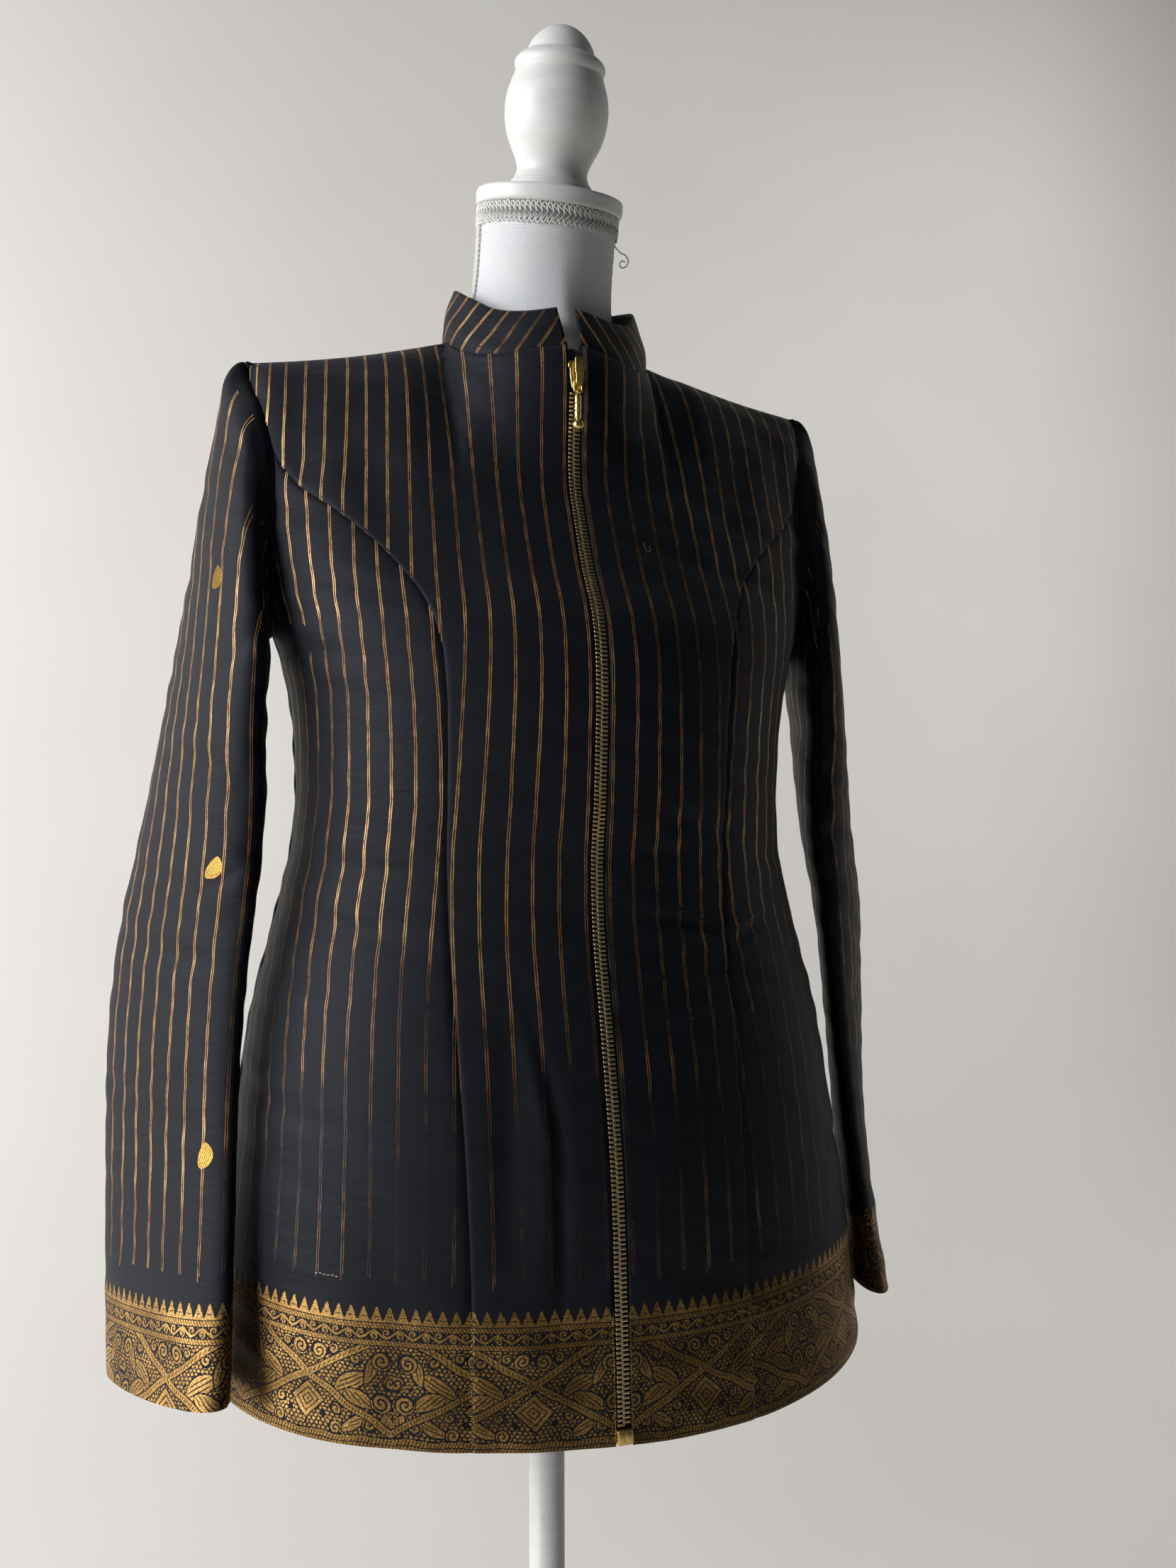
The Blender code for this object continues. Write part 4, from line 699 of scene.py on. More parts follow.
def makePaint():
    m = NodeMaker("whitePaint", (0.80, 0.795, 0.77), 0.42)
    vector, _ = m.coordinates()
    brush = m.noise(m.scaled(vector, (26, 26, 150)), 1.0, 3.0)
    chips = m.noise(m.scaled(vector, (150, 150, 95)), 1.0, 3.0, 0.7)
    chipMask = m.math("GREATER_THAN", chips, 0.735)
    tone = m.ramp(brush, [(0.30, (0.70, 0.70, 0.68)), (0.72, (0.78, 0.78, 0.765))])
    m.color(m.mixed("MIX", chipMask, tone, (0.50, 0.46, 0.40, 1.0)))
    m.bumpFrom(m.times(brush, 0.00030), m.times(chipMask, -0.00015))
    m.rough(m.range(brush, 0.34, 0.50))
    return m.material


def makeBrass(name="polishedBrass", colour=(0.83, 0.60, 0.22), roughness=0.22):
    m = NodeMaker(name, colour, roughness, 1.0)
    vector, _ = m.coordinates()
    m.rough(m.range(m.noise(vector, 900.0, 2.0), roughness - 0.06, roughness + 0.14))
    m.bumpFrom(m.times(m.noise(vector, 1600.0, 2.0), 0.00004))
    return m.material


def makeTape():
    m = NodeMaker("blackTape", (0.008, 0.008, 0.010), 0.8)
    _, (x, _, z) = m.coordinates()
    slant = m.math("ADD", m.math("ABSOLUTE", x), z)
    rows = m.math("SINE", m.times(slant, 6283.0 / 1.1))
    m.bumpFrom(m.times(rows, 0.00012))
    m.set("Sheen Weight", 0.2)
    return m.material


silk = makeSilk()
pinstripe = makePinstripe()
goldThread = makeGoldThread(
    "goldBrocadeThread", (0.090, 0.045, 0.012), (0.32, 0.175, 0.046), (0.82, 0.50, 0.150))
motifThread = makeGoldThread(
    "brightGoldThread", (0.16, 0.080, 0.012), (0.42, 0.24, 0.036), (0.72, 0.46, 0.105))
paleThread = makeGoldThread("paleThread", (0.30, 0.24, 0.16), (0.52, 0.44, 0.30), (0.80, 0.72, 0.54))
canvas = makeCanvas()
gimp = makeBraidThread()
paint = makePaint()
brass = makeBrass()
toothBrass = makeBrass("toothBrass", (0.62, 0.48, 0.27), 0.30)
tape = makeTape()
print("materials made")

# Cloth pieces


def linked(name, data):
    item = bpy.data.objects.new(name, data)
    bpy.context.scene.collection.objects.link(item)
    return item


def meshObject(name, vertices, faces, material, smooth=True, uv=None):
    mesh = bpy.data.meshes.new(name)
    mesh.from_pydata([tuple(map(float, v)) for v in vertices], [], [tuple(map(int, f)) for f in faces])
    if uv is not None:
        layer = mesh.uv_layers.new(name="cloth")
        corners = np.zeros(len(mesh.loops), int)
        mesh.loops.foreach_get("vertex_index", corners)
        layer.data.foreach_set("uv", np.asarray(uv, float)[corners].ravel())
    mesh.materials.append(material)
    if smooth:
        mesh.shade_smooth()
    return linked(name, mesh)


def gridFaces(rows, columns, flip=False, closed=False):
    faces = []
    for row in range(rows - 1):
        for column in range(columns if closed else columns - 1):
            after = (column + 1) % columns
            low = row * columns
            face = (low + column, low + after, low + columns + after, low + columns + column)
            faces.append(face[::-1] if flip else face)
    return faces


def gridObject(name, points, material, flip=False, closed=False, uv=None):
    rows, columns = points.shape[:2]
    flatUv = None if uv is None else np.asarray(uv).reshape(-1, 2)
    faces = gridFaces(rows, columns, flip, closed)
    return meshObject(name, points.reshape(-1, 3), faces, material, uv=flatUv)


def finished(item, body="root", node=None):
    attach(item, body)
    if node:
        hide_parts(node)
    return item


def thicken(item, thickness):
    # the wall grows inwards from the surface that shows
    solid = item.modifiers.new("wall", "SOLIDIFY")
    solid.thickness = thickness
    solid.offset = -1.0
    solid.use_even_offset = False


clothPieces = {}


class Cloth:
    # a grid of points on one cut piece, with its outward normals and its place on the flat cloth

    def __init__(self, points, normals, along, up):
        self.points, self.normals, self.along, self.up = points, normals, along, up


def edgeDistance(points):
    steps = np.linalg.norm(np.diff(points, axis=1), axis=-1)
    fromLeft = np.concatenate([np.zeros((len(points), 1)), np.cumsum(steps, 1)], 1)
    return fromLeft, fromLeft[:, -1:] - fromLeft


def gridNormals(points, flip):
    du = np.gradient(points, axis=1)
    dv = np.gradient(points, axis=0)
    normal = unit(np.cross(du, dv))
    return -normal if flip else normal


def makePanel(name, side, face, places, seams, grain):
    across, height = places[..., 0], places[..., 1]
    base = bodyPoint(across, height, face)
    normal = bodyNormal(across, height, face)
    depth = bodyDepth(side, face, across, height, base)
    fromLeft, fromRight = edgeDistance(base)
    for where, distance in (("left", fromLeft), ("right", fromRight)):
        if where in seams:
            depth = depth + 0.0005 * np.exp(-((distance / 0.0010) ** 2))
    point = base - normal * depth[..., None]
    x = side * point[..., 0]
    world = np.stack([x, point[..., 1], point[..., 2] + hemHeight + hemLift(x, height)], -1)
    worldNormal = normal * np.array([side, 1.0, 1.0])
    flip = (side < 0) != (face == "back")
    arc = arcLength(face, across, np.minimum(height, chestHeight))
    rise = np.clip((height - 0.24) / 0.24, 0.0, 1.0)
    beyondNeck = np.clip((base[..., 0] - 0.055) / 0.07, 0.0, 1.0)
    lean = 0.10 * (side < 0) * np.maximum(height - 0.44, 0.0) * beyondNeck
    widening = 1.0 + 0.11 * rise * rise * (3 - 2 * rise)
    along = side * (arc * widening - grain(height) + lean * (face == "front"))
    clothPieces[name] = Cloth(world, worldNormal, along, height)
    # seam allowances are tucked behind the neighbour, so that no gap shows
    tucked, tuckedUv = world, np.stack([along, height], -1)
    inwards = -0.0022 * worldNormal
    if "left" in seams:
        out = unit(world[:, :1] - world[:, 1:2]) * 0.0016
        tucked = np.concatenate([world[:, :1] + inwards[:, :1] + out, tucked], 1)
        tuckedUv = np.concatenate([tuckedUv[:, :1], tuckedUv], 1)
    if "right" in seams:
        out = unit(world[:, -1:] - world[:, -2:-1]) * 0.0016
        tucked = np.concatenate([tucked, world[:, -1:] + inwards[:, -1:] + out], 1)
        tuckedUv = np.concatenate([tuckedUv, tuckedUv[:, -1:]], 1)
    item = gridObject(name, tucked, silk, flip, uv=tuckedUv)
    thicken(item, 0.0011)
    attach(item, "root")
    return item


def grainCentre(height):
    return 0.0 * height


def grainSideFront(height):
    # the side front's threads run midway between its two seams
    waistHeight = np.minimum(height, 0.41)
    middle = 0.5 * (arcLength("front", princessAcross(waistHeight), waistHeight)
                    + arcLength("front", np.ones_like(height), waistHeight))
    seam = arcLength("front", princessAcross(waistHeight), waistHeight) + 0.060
    return 0.5 * middle + 0.5 * seam + 0.07 * np.maximum(height - 0.33, 0.0)


bodyItems = {}
for side, mark in ((-1, "right"), (1, "left")):
    bodyItems["centre_front_" + mark] = makePanel(
        "centreFront_" + mark, side, "front", centreFrontPlaces(), ("right",), grainCentre)
    bodyItems["side_front_" + mark] = makePanel(
        "sideFront_" + mark, side, "front", sideFrontPlaces(), ("left", "right"), grainSideFront)
    bodyItems["back_" + mark] = makePanel(
        "backPanel_" + mark, side, "back", backPlaces(), ("left", "right"), grainCentre)
print("body panels made")


sleeveHeadFoot = 0.400  # where the sleeve's head begins


def sleeveSectionPoint(side, height, angle):
    centreX, centreY, halfDepth, halfThick, turn, tilt = tableAt(sleeveRows, height)
    if side > 0:
        share = np.maximum((0.26 - height) / 0.26, 0.0)
        centreX = centreX - 0.0100 * share
        centreY = centreY + 0.0200 * share
        halfThick = halfThick * (1.0 - 0.30 * share)
        turn = turn - 10.0 * share
    bend = np.radians(turn)
    cosine, sine = np.cos(np.radians(angle)), np.sin(np.radians(angle))
    along = halfDepth * np.sign(cosine) * np.abs(cosine) ** (2 / 2.2)
    out = halfThick * np.sign(sine) * np.abs(sine) ** (2 / 2.2)
    x = centreX - along * np.sin(bend) + out * np.cos(bend)
    y = centreY - along * np.cos(bend) - out * np.sin(bend)
    return np.stack([x, y, height + tilt * along], -1)


def armholeStart(angle):
    across, height = armholePlace(angle)
    across = np.minimum(across + 0.0010, 1.0)
    front = np.cos(np.radians(angle)) >= 0
    point = np.where(front[..., None], bodyPoint(across, height, "front"), bodyPoint(across, height, "back"))
    return point + np.array([0.0004, 0.0, 0.0])


def sleeveCapPoint(angle, share):
    upward = np.sin(np.radians(angle))[..., None]
    start = armholeStart(angle)
    end = sleeveSectionPoint(-1, np.full_like(angle, sleeveHeadFoot), angle)
    below = sleeveSectionPoint(-1, np.full_like(angle, 0.380), angle)
    length = np.linalg.norm(end - start, axis=-1, keepdims=True)
    leave = np.concatenate([0.044 + 0.016 * upward, 0 * upward, 0.022 * np.maximum(upward, 0.0)], -1)
    leave = np.where(upward < 0, leave * (0.55 + 0.45 * (1.0 + upward)), leave)
    return hermite(start, leave, end, unit(below - end) * length, share[..., None])


def straightHead(points, fromLeft, along, capRows):
    # over the sleeve head the threads keep on straight up instead of following the armhole
    centreX, centreY, _, _, turn, _ = tableAt(sleeveRows, sleeveHeadFoot)
    bend = math.radians(float(turn))
    reach = -(points[..., 0] - centreX) * math.sin(bend) - (points[..., 1] - centreY) * math.cos(bend)
    row = reach[capRows]
    outer = slice(int(np.argmax(row)), int(np.argmin(row)) + 1)
    if outer.stop - outer.start < 20:  # the under sleeve
        return along
    order = np.argsort(row[outer])
    known, value = row[outer][order], along[capRows][outer][order]
    inside = np.clip(reach[:capRows], known[0], known[-1])
    sign = np.sign(value[-1] - value[0])
    straight = np.interp(inside, known, value) + (reach[:capRows] - inside) * sign
    for row in range(capRows):
        front, rear = int(np.argmax(reach[row])), int(np.argmin(reach[row]))
        beyond = np.abs(fromLeft[row] - fromLeft[row, front])
        straight[row, :front] = straight[row, front] + sign * beyond[:front]
        beyond = np.abs(fromLeft[row] - fromLeft[row, rear])
        straight[row, rear + 1:] = straight[row, rear] - sign * beyond[rear + 1:]
    share = np.clip((np.arange(capRows)[::-1][:, None]) / 14.0, 0.0, 1.0)
    along = along.copy()
    along[:capRows] = (1 - share) * along[:capRows] + share * straight
    return along


def makeSleeve(name, side, angles):
    capShares = np.concatenate([[0.0, 0.012, 0.03, 0.055], np.linspace(0.085, 1.0, 44)[:-1]])
    lowHeights = np.linspace(sleeveHeadFoot, 0.018, 128)
    angle = np.repeat(angles[None, :], len(capShares) + len(lowHeights), 0)
    cap = sleeveCapPoint(angle[: len(capShares)], np.repeat(capShares[:, None], len(angles), 1))
    low = sleeveSectionPoint(side, np.repeat(lowHeights[:, None], len(angles), 1), angle[len(capShares):])
    points = np.concatenate([cap, low], 0)
    height = np.concatenate([cap[..., 2], np.repeat(lowHeights[:, None], len(angles), 1)], 0)
    depth = np.zeros_like(height)
    for rowHeight, rowAngle, halfHeight, halfAngle, amount, slope in sleeveFolds[side] + sleeveCreases[side]:
        turn = (angle - rowAngle + 180.0) % 360.0 - 180.0
        middle = rowHeight + slope * np.radians(turn) * 0.1
        depth += amount * bump(height - middle, halfHeight) * bump(turn, halfAngle)
    depth = depth + rippleDepth(np.radians(angle) * 0.05 * side, height, 0.00009)
    flip = side > 0
    normal = gridNormals(points, True)
    outward = 0.5 * (points - np.stack([*tableAt(sleeveRows, height)[:2], height], -1))
    outward[..., 2] = 0
    sign = np.sign(np.sum(normal * outward, -1, keepdims=True))
    normal = normal * np.median(sign)
    # set-in seam: the head starts a little below the armhole edge and swells over it
    steps = np.linalg.norm(np.diff(points, axis=0), axis=-1)
    fromTop = np.concatenate([np.zeros((1, steps.shape[1])), np.cumsum(steps, 0)], 0)
    puff = 0.0022 * np.clip(np.sin(np.radians(angle)), 0, 1) * np.exp(-(((fromTop - 0.018) / 0.014) ** 2))
    depth = depth + 0.0010 * np.exp(-((fromTop / 0.0022) ** 2)) - puff
    fromLeft, fromRight = edgeDistance(points)
    for distance in (fromLeft, fromRight):
        depth = depth + 0.0007 * np.exp(-((distance / 0.0020) ** 2))
    points = points - normal * depth[..., None]
    world = points * np.array([side, 1, 1]) + np.array([0, 0, hemHeight])
    worldNormal = normal * np.array([side, 1, 1])
    middleAngle = int(np.argmin(np.abs(angles - 100.0))) if angles[0] < 90 else len(angles) // 2
    along = side * (fromLeft - fromLeft[:, middleAngle:middleAngle + 1])
    along = straightHead(points, fromLeft, along, len(capShares))
    cuffToTop = np.concatenate([np.zeros((1, steps.shape[1])), np.cumsum(steps[::-1], 0)], 0)[::-1]
    clothPieces[name] = Cloth(world[::-1], worldNormal[::-1], along[::-1], cuffToTop[::-1])
    # the head's allowance lies inside the armhole, the long seams' behind their neighbours
    inside = world[:1] - worldNormal[:1] * 0.0012 - np.array([side * 0.0030, 0, 0])
    grid = np.concatenate([inside, world], 0)
    uv = np.stack([along, cuffToTop], -1)
    uv = np.concatenate([uv[:1], uv], 0)
    gridNormal = np.concatenate([worldNormal[:1], worldNormal], 0)
    leftOut = unit(grid[:, :1] - grid[:, 1:2]) * 0.0014 - gridNormal[:, :1] * 0.0018
    rightOut = unit(grid[:, -1:] - grid[:, -2:-1]) * 0.0014 - gridNormal[:, -1:] * 0.0018
    grid = np.concatenate([grid[:, :1] + leftOut, grid, grid[:, -1:] + rightOut], 1)
    uv = np.concatenate([uv[:, :1], uv, uv[:, -1:]], 1)
    item = gridObject(name, grid, silk, flip, uv=uv)
    thicken(item, 0.0011)
    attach(item, "root")
    return item


topAngles = np.linspace(-14.0, 196.0, 61)
underAngles = np.linspace(196.0, 346.0, 45)
for side, mark in ((-1, "right"), (1, "left")):
    bodyItems["top_sleeve_" + mark] = makeSleeve("topSleeve_" + mark, side, topAngles)
    bodyItems["under_sleeve_" + mark] = makeSleeve("underSleeve_" + mark, side, underAngles)
print("sleeves made")


def collarPoint(angle, share):
    away = np.abs(angle)
    base = necklinePoint(away)
    base[..., 2] += 0.0004
    turn = np.radians(away)
    height = tableAt(collarTopRows, away)[0]
    top = np.stack([collarTopHalf * np.sin(turn), -collarTopDepth * np.cos(turn), height], -1)
    point = base * (1 - share[..., None]) + top * share[..., None]
    out = np.stack([np.sin(turn), -np.cos(turn), 0 * turn], -1)
    point = point + out * (0.0012 * np.sin(np.pi * share))[..., None]
    point[..., 0] = np.where(angle < 0, -point[..., 0], point[..., 0])
    return point + np.array([0, 0, hemHeight])


def makeCollar():
    shares = np.concatenate([[-0.10], np.linspace(0.0, 1.0, 17)])
    grid, uvs, normals = [], [], []
    for share in shares:
        clipped = max(share, 0.0)
        ends = []
        for baseX, topX in ((0.0030, 0.0032), (-0.0046, -0.0078)):
            x = baseX + (topX - baseX) * clipped ** 0.7
            half = necklineHalf + (collarTopHalf - necklineHalf) * clipped
            ends.append(math.degrees(math.asin(x / half)))
        angles = np.linspace(ends[0], ends[1] + 360.0, 181)
        signed = np.where(angles > 180.0, angles - 360.0, angles)
        row = collarPoint(signed, np.full_like(angles, clipped))
        turn = np.radians(signed)
        out = np.stack([np.sin(turn), -np.cos(turn), 0 * turn], -1)
        soft = 0.0005 * np.sin(5 * turn + 6 * clipped) + 0.0003 * np.sin(11 * turn)
        soft = soft * math.sin(math.pi * clipped)
        row = row + out * soft[:, None]
        row = row - out * (0.0006 * math.exp(-((clipped * 0.026 / 0.002) ** 2)))
        if share < 0:
            row = row - out * 0.0012 - np.array([0, 0, 0.0022])
        grid.append(row)
        normals.append(out)
        uvs.append(np.stack([0.060 * turn, np.full_like(turn, 0.03 * clipped)], -1))
    points, uv = np.array(grid), np.array(uvs)
    clothPieces["collar"] = Cloth(points[1:], np.array(normals)[1:], uv[1:, :, 0], uv[1:, :, 1])
    item = gridObject("standCollar", points, silk, False, uv=uv)
    thicken(item, 0.0014)
    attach(item, "root")
    return item


bodyItems["collar"] = makeCollar()
print("collar made")

# Pinstripes


def bilinear(grid, row, column):
    row = np.clip(row, 0, grid.shape[0] - 1.000001)
    column = np.clip(column, 0, grid.shape[1] - 1.000001)
    r0, c0 = row.astype(int), column.astype(int)
    fr, fc = (row - r0), (column - c0)
    if grid.ndim == 3:
        fr, fc = fr[..., None], fc[..., None]
    return ((grid[r0, c0] * (1 - fc) + grid[r0, c0 + 1] * fc) * (1 - fr)
            + (grid[r0 + 1, c0] * (1 - fc) + grid[r0 + 1, c0 + 1] * fc) * fr)


def columnOf(alongRow, values):
    if alongRow[0] <= alongRow[-1]:
        return np.interp(values, alongRow, np.arange(len(alongRow)))
    return len(alongRow) - 1 - np.interp(values, alongRow[::-1], np.arange(len(alongRow)))


stripeLook = {
    "pitch": 0.0145,
    "gap": 0.00060,  # half the distance between the two lines of a pair
    "halfWidth": 0.00027,
    "proud": 0.00010,
}
stripeRandom = np.random.default_rng(21)


class RibbonBuilder:
    def __init__(self):
        self.vertices, self.faces = [], []

    def add(self, points, normals, halfWidth, proud):
        # a narrow band laid along a line on the cloth
        tangent = unit(np.gradient(points, axis=0))
        out = unit(np.cross(normals, tangent)) * np.asarray(halfWidth)[..., None]
        raised = points + normals * proud
        first = len(self.vertices)
        for left, right in zip(raised - out, raised + out):
            self.vertices += [left, right]
        for index in range(len(points) - 1):
            a = first + 2 * index
            self.faces.append((a + 1, a, a + 2, a + 3))


def contourLines(field):
    # lines of (row, column) places where the field of a grid passes zero
    above = field > 0
    places = {}
    r, c = np.nonzero(above[:, :-1] != above[:, 1:])
    share = field[r, c] / (field[r, c] - field[r, c + 1])
    places.update({(a, b, 0): (a, b + t) for a, b, t in zip(r.tolist(), c.tolist(), share.tolist())})
    r, c = np.nonzero(above[:-1] != above[1:])
    share = field[r, c] / (field[r, c] - field[r + 1, c])
    places.update({(a, b, 1): (a + t, b) for a, b, t in zip(r.tolist(), c.tolist(), share.tolist())})
    cells = {}
    for row, column, kind in places:
        before = (row - 1, column) if kind == 0 else (row, column - 1)
        for cell in ((row, column), before):
            cells.setdefault(cell, []).append((row, column, kind))
    links = {key: [] for key in places}
    for edges in cells.values():
        for one, other in zip(edges[::2], edges[1::2]):
            links[one].append(other)
            links[other].append(one)
    lines, seen = [], set()
    for key in sorted(places, key=lambda item: len(links[item])):
        if key in seen:
            continue
        line, here = [], key
        while here is not None:
            seen.add(here)
            line.append(places[here])
            here = next((other for other in links[here] if other not in seen), None)
        if len(line) > 3:
            lines.append(np.array(line))
    return lines


def evenly(line, points, spacing):
    steps = np.linalg.norm(np.diff(points, axis=0), axis=1)
    length = np.concatenate([[0.0], np.cumsum(steps)])
    count = max(int(length[-1] / spacing), 2)
    wanted = np.linspace(0.0, length[-1], count + 1)
    return np.stack([np.interp(wanted, length, line[:, axis]) for axis in range(2)], -1)


def addLine(builder, cloth, field, lowEnd, halfWidth, proud, phase=0.0, steep=0.0):
    for line in contourLines(field):
        points = bilinear(cloth.points, line[:, 0], line[:, 1])
        line = evenly(line, points, 0.0030)
        if len(line) < 3:
            continue
        up = bilinear(cloth.up, line[:, 0], line[:, 1])
        points = bilinear(cloth.points, line[:, 0], line[:, 1])
        rise = np.abs(unit(np.gradient(points, axis=0))[:, 2])
        line = line[(up > lowEnd) & (rise >= steep)]
        if len(line) < 3:
            continue
        breaks = np.nonzero(np.linalg.norm(np.diff(line, axis=0), axis=1) > 4.0)[0] + 1
        for part in np.split(line, breaks):
            if len(part) < 3:
                continue
            points = bilinear(cloth.points, part[:, 0], part[:, 1])
            normals = unit(bilinear(cloth.normals, part[:, 0], part[:, 1]))
            wide = halfWidth * (1.0 + 0.22 * np.sin(points[:, 2] * 410.0 + phase))
            builder.add(points, normals, wide, proud)


def addStripes(builder, cloth, centres, lowEnd, steep=0.0):
    look = stripeLook
    for centre in centres:
        phase = stripeRandom.uniform(0, 6.28, 3)
        for lineSide in (-1, 1):
            wave = (0.00030 * np.sin(cloth.up * 28.0 + phase[0])
                    + 0.00010 * np.sin(cloth.up * 75.0 + phase[1])
                    + 0.00006 * np.sin(cloth.up * 310.0 + phase[2] + lineSide))
            field = cloth.along - centre - lineSide * look["gap"] - wave
            end = lowEnd(centre) + lineSide * 0.0006
            addLine(builder, cloth, field, end, look["halfWidth"], look["proud"], phase[1], steep)


def stripeCentres(cloth, pitch, offset):
    low, high = cloth.along.min(), cloth.along.max()
    first = math.floor((low - offset) / pitch)
    last = math.ceil((high - offset) / pitch)
    return [offset + pitch * index for index in range(first, last + 1)]


def hemStripeEnd(centre):
    return 0.0815 + 0.0012 * math.sin(centre * 231.0)


def cuffStripeEnd(centre):
    return 0.0615 + 0.0012 * math.sin(centre * 197.0)


for mark, side in (("right", -1), ("left", 1)):
    builder = RibbonBuilder()
    offsets = (("centreFront_", 0.0070 * side), ("sideFront_", 0.0), ("backPanel_", 0.00725 * side))
    for name, offset in offsets:
        cloth = clothPieces[name + mark]
        addStripes(builder, cloth, stripeCentres(cloth, stripeLook["pitch"], offset), hemStripeEnd)
    for name in ("topSleeve_", "underSleeve_"):
        cloth = clothPieces[name + mark]
        centres = stripeCentres(cloth, stripeLook["pitch"], 0.002)
        addStripes(builder, cloth, centres, cuffStripeEnd, steep=0.62)
    item = meshObject("pinstripes_" + mark, builder.vertices, builder.faces, pinstripe, smooth=False)
    finished(item)
print("pinstripes laid")


def addCollarStripes():
    # cut on the bias, leaning away from the zip on both sides
    cloth = clothPieces["collar"]
    builder = RibbonBuilder()
    look = stripeLook
    share = np.linspace(0, 1, cloth.points.shape[0])[:, None]
    away = np.abs(cloth.along)
    lean = 0.0165 + 0.0080 * np.minimum(away / 0.07, 1.0)
    slant = lean * share - 0.002 * share ** 2
    for side in (-1, 1):
        for index in range(1, 16):
            centre = index * 0.0124 - 0.0050
            for lineSide in (-1, 1):
                field = cloth.along * side - centre - lineSide * look["gap"] + slant
                addLine(builder, cloth, field, -1.0, look["halfWidth"], look["proud"])
    item = meshObject("collarStripes", builder.vertices, builder.faces, pinstripe, smooth=False)
    finished(item)


addCollarStripes()

# Woven border of the hem and cuffs


def ropeBand(s, v, low, high, pitch, slope):
    inside = (v > low) & (v < high)
    dash = ((s + slope * (v - low)) / pitch) % 1.0
    return inside & (dash > 0.27)


def spiral(x, y, radius, pitch, hand, width=0.27):
    r = np.hypot(x, y)
    turn = np.arctan2(y, x * hand) / (2 * np.pi)
    return (np.abs(((r / pitch - turn) % 1.0) - 0.5) < width) & (r < radius)


def turnedBy(x, y, angle):
    c, s = math.cos(math.radians(angle)), math.sin(math.radians(angle))
    return x * c + y * s, y * c - x * s


def paisleyShape(x, y, length, width, angle):
    # below zero inside a drop whose tip bends over
    along, away = turnedBy(x, y, angle)
    share = np.clip(along / length + 0.5, 0.0, 1.0)
    half = width * 0.5 * np.sqrt(np.maximum(share, 0.0)) * np.maximum(1.0 - share, 0.0) ** 0.75 * 2.1
    bend = 0.30 * width * (1.0 - share) ** 3
    outside = np.maximum(np.abs(along) - length * 0.5, 0.0)
    return np.abs(away - bend) - half + outside


# This border's own design, in metres: a trellis of rope bands, diamonds, scrolls and hatched drops
fieldLook = {"period": 0.0930, "crossing": 0.0170, "slope": 0.56, "band": 0.0016, "line": 0.0007}
fieldScrolls = (  # distance from the crossing, depth below the rope, radius, pitch, hand
    (0.0054, 0.0052, 0.0042, 0.0024, 1), (0.0135, 0.0034, 0.0026, 0.002, -1),
    (0.04, 0.0078, 0.0046, 0.0026, -1), (0.0405, 0.0285, 0.0048, 0.0026, 1),
    (0.0345, 0.0395, 0.0036, 0.0024, -1), (0.0165, 0.0425, 0.0032, 0.0022, 1),
    (0.017, 0.033, 0.0026, 0.0022, -1), (0.027, 0.0065, 0.003, 0.0022, 1),
    (0.0448, 0.018, 0.0034, 0.0024, -1),
)
fieldDrops = (  # distance from the crossing, depth, length, width, angle, pitch of the hatching, its angle
    (0.024, 0.018, 0.021, 0.01, -24.0, 0.002, 62.0), (0.03, 0.0265, 0.019, 0.008, 34.0, 0.00185, -48.0),
    (0.0345, 0.013, 0.013, 0.006, 118.0, 0.0018, 20.0),
    (0.0255, 0.04, 0.015, 0.0066, 158.0, 0.0018, 70.0), (0.044, 0.04, 0.012, 0.007, 95.0, 0.0019, 15.0),
)
fieldHoles = (  # distance from the crossing, depth, radius
    (0.0098, 0.037, 0.0017), (0.0195, 0.0275, 0.0011), (0.0145, 0.0188, 0.0009), (0.0372, 0.0205, 0.0012),
)


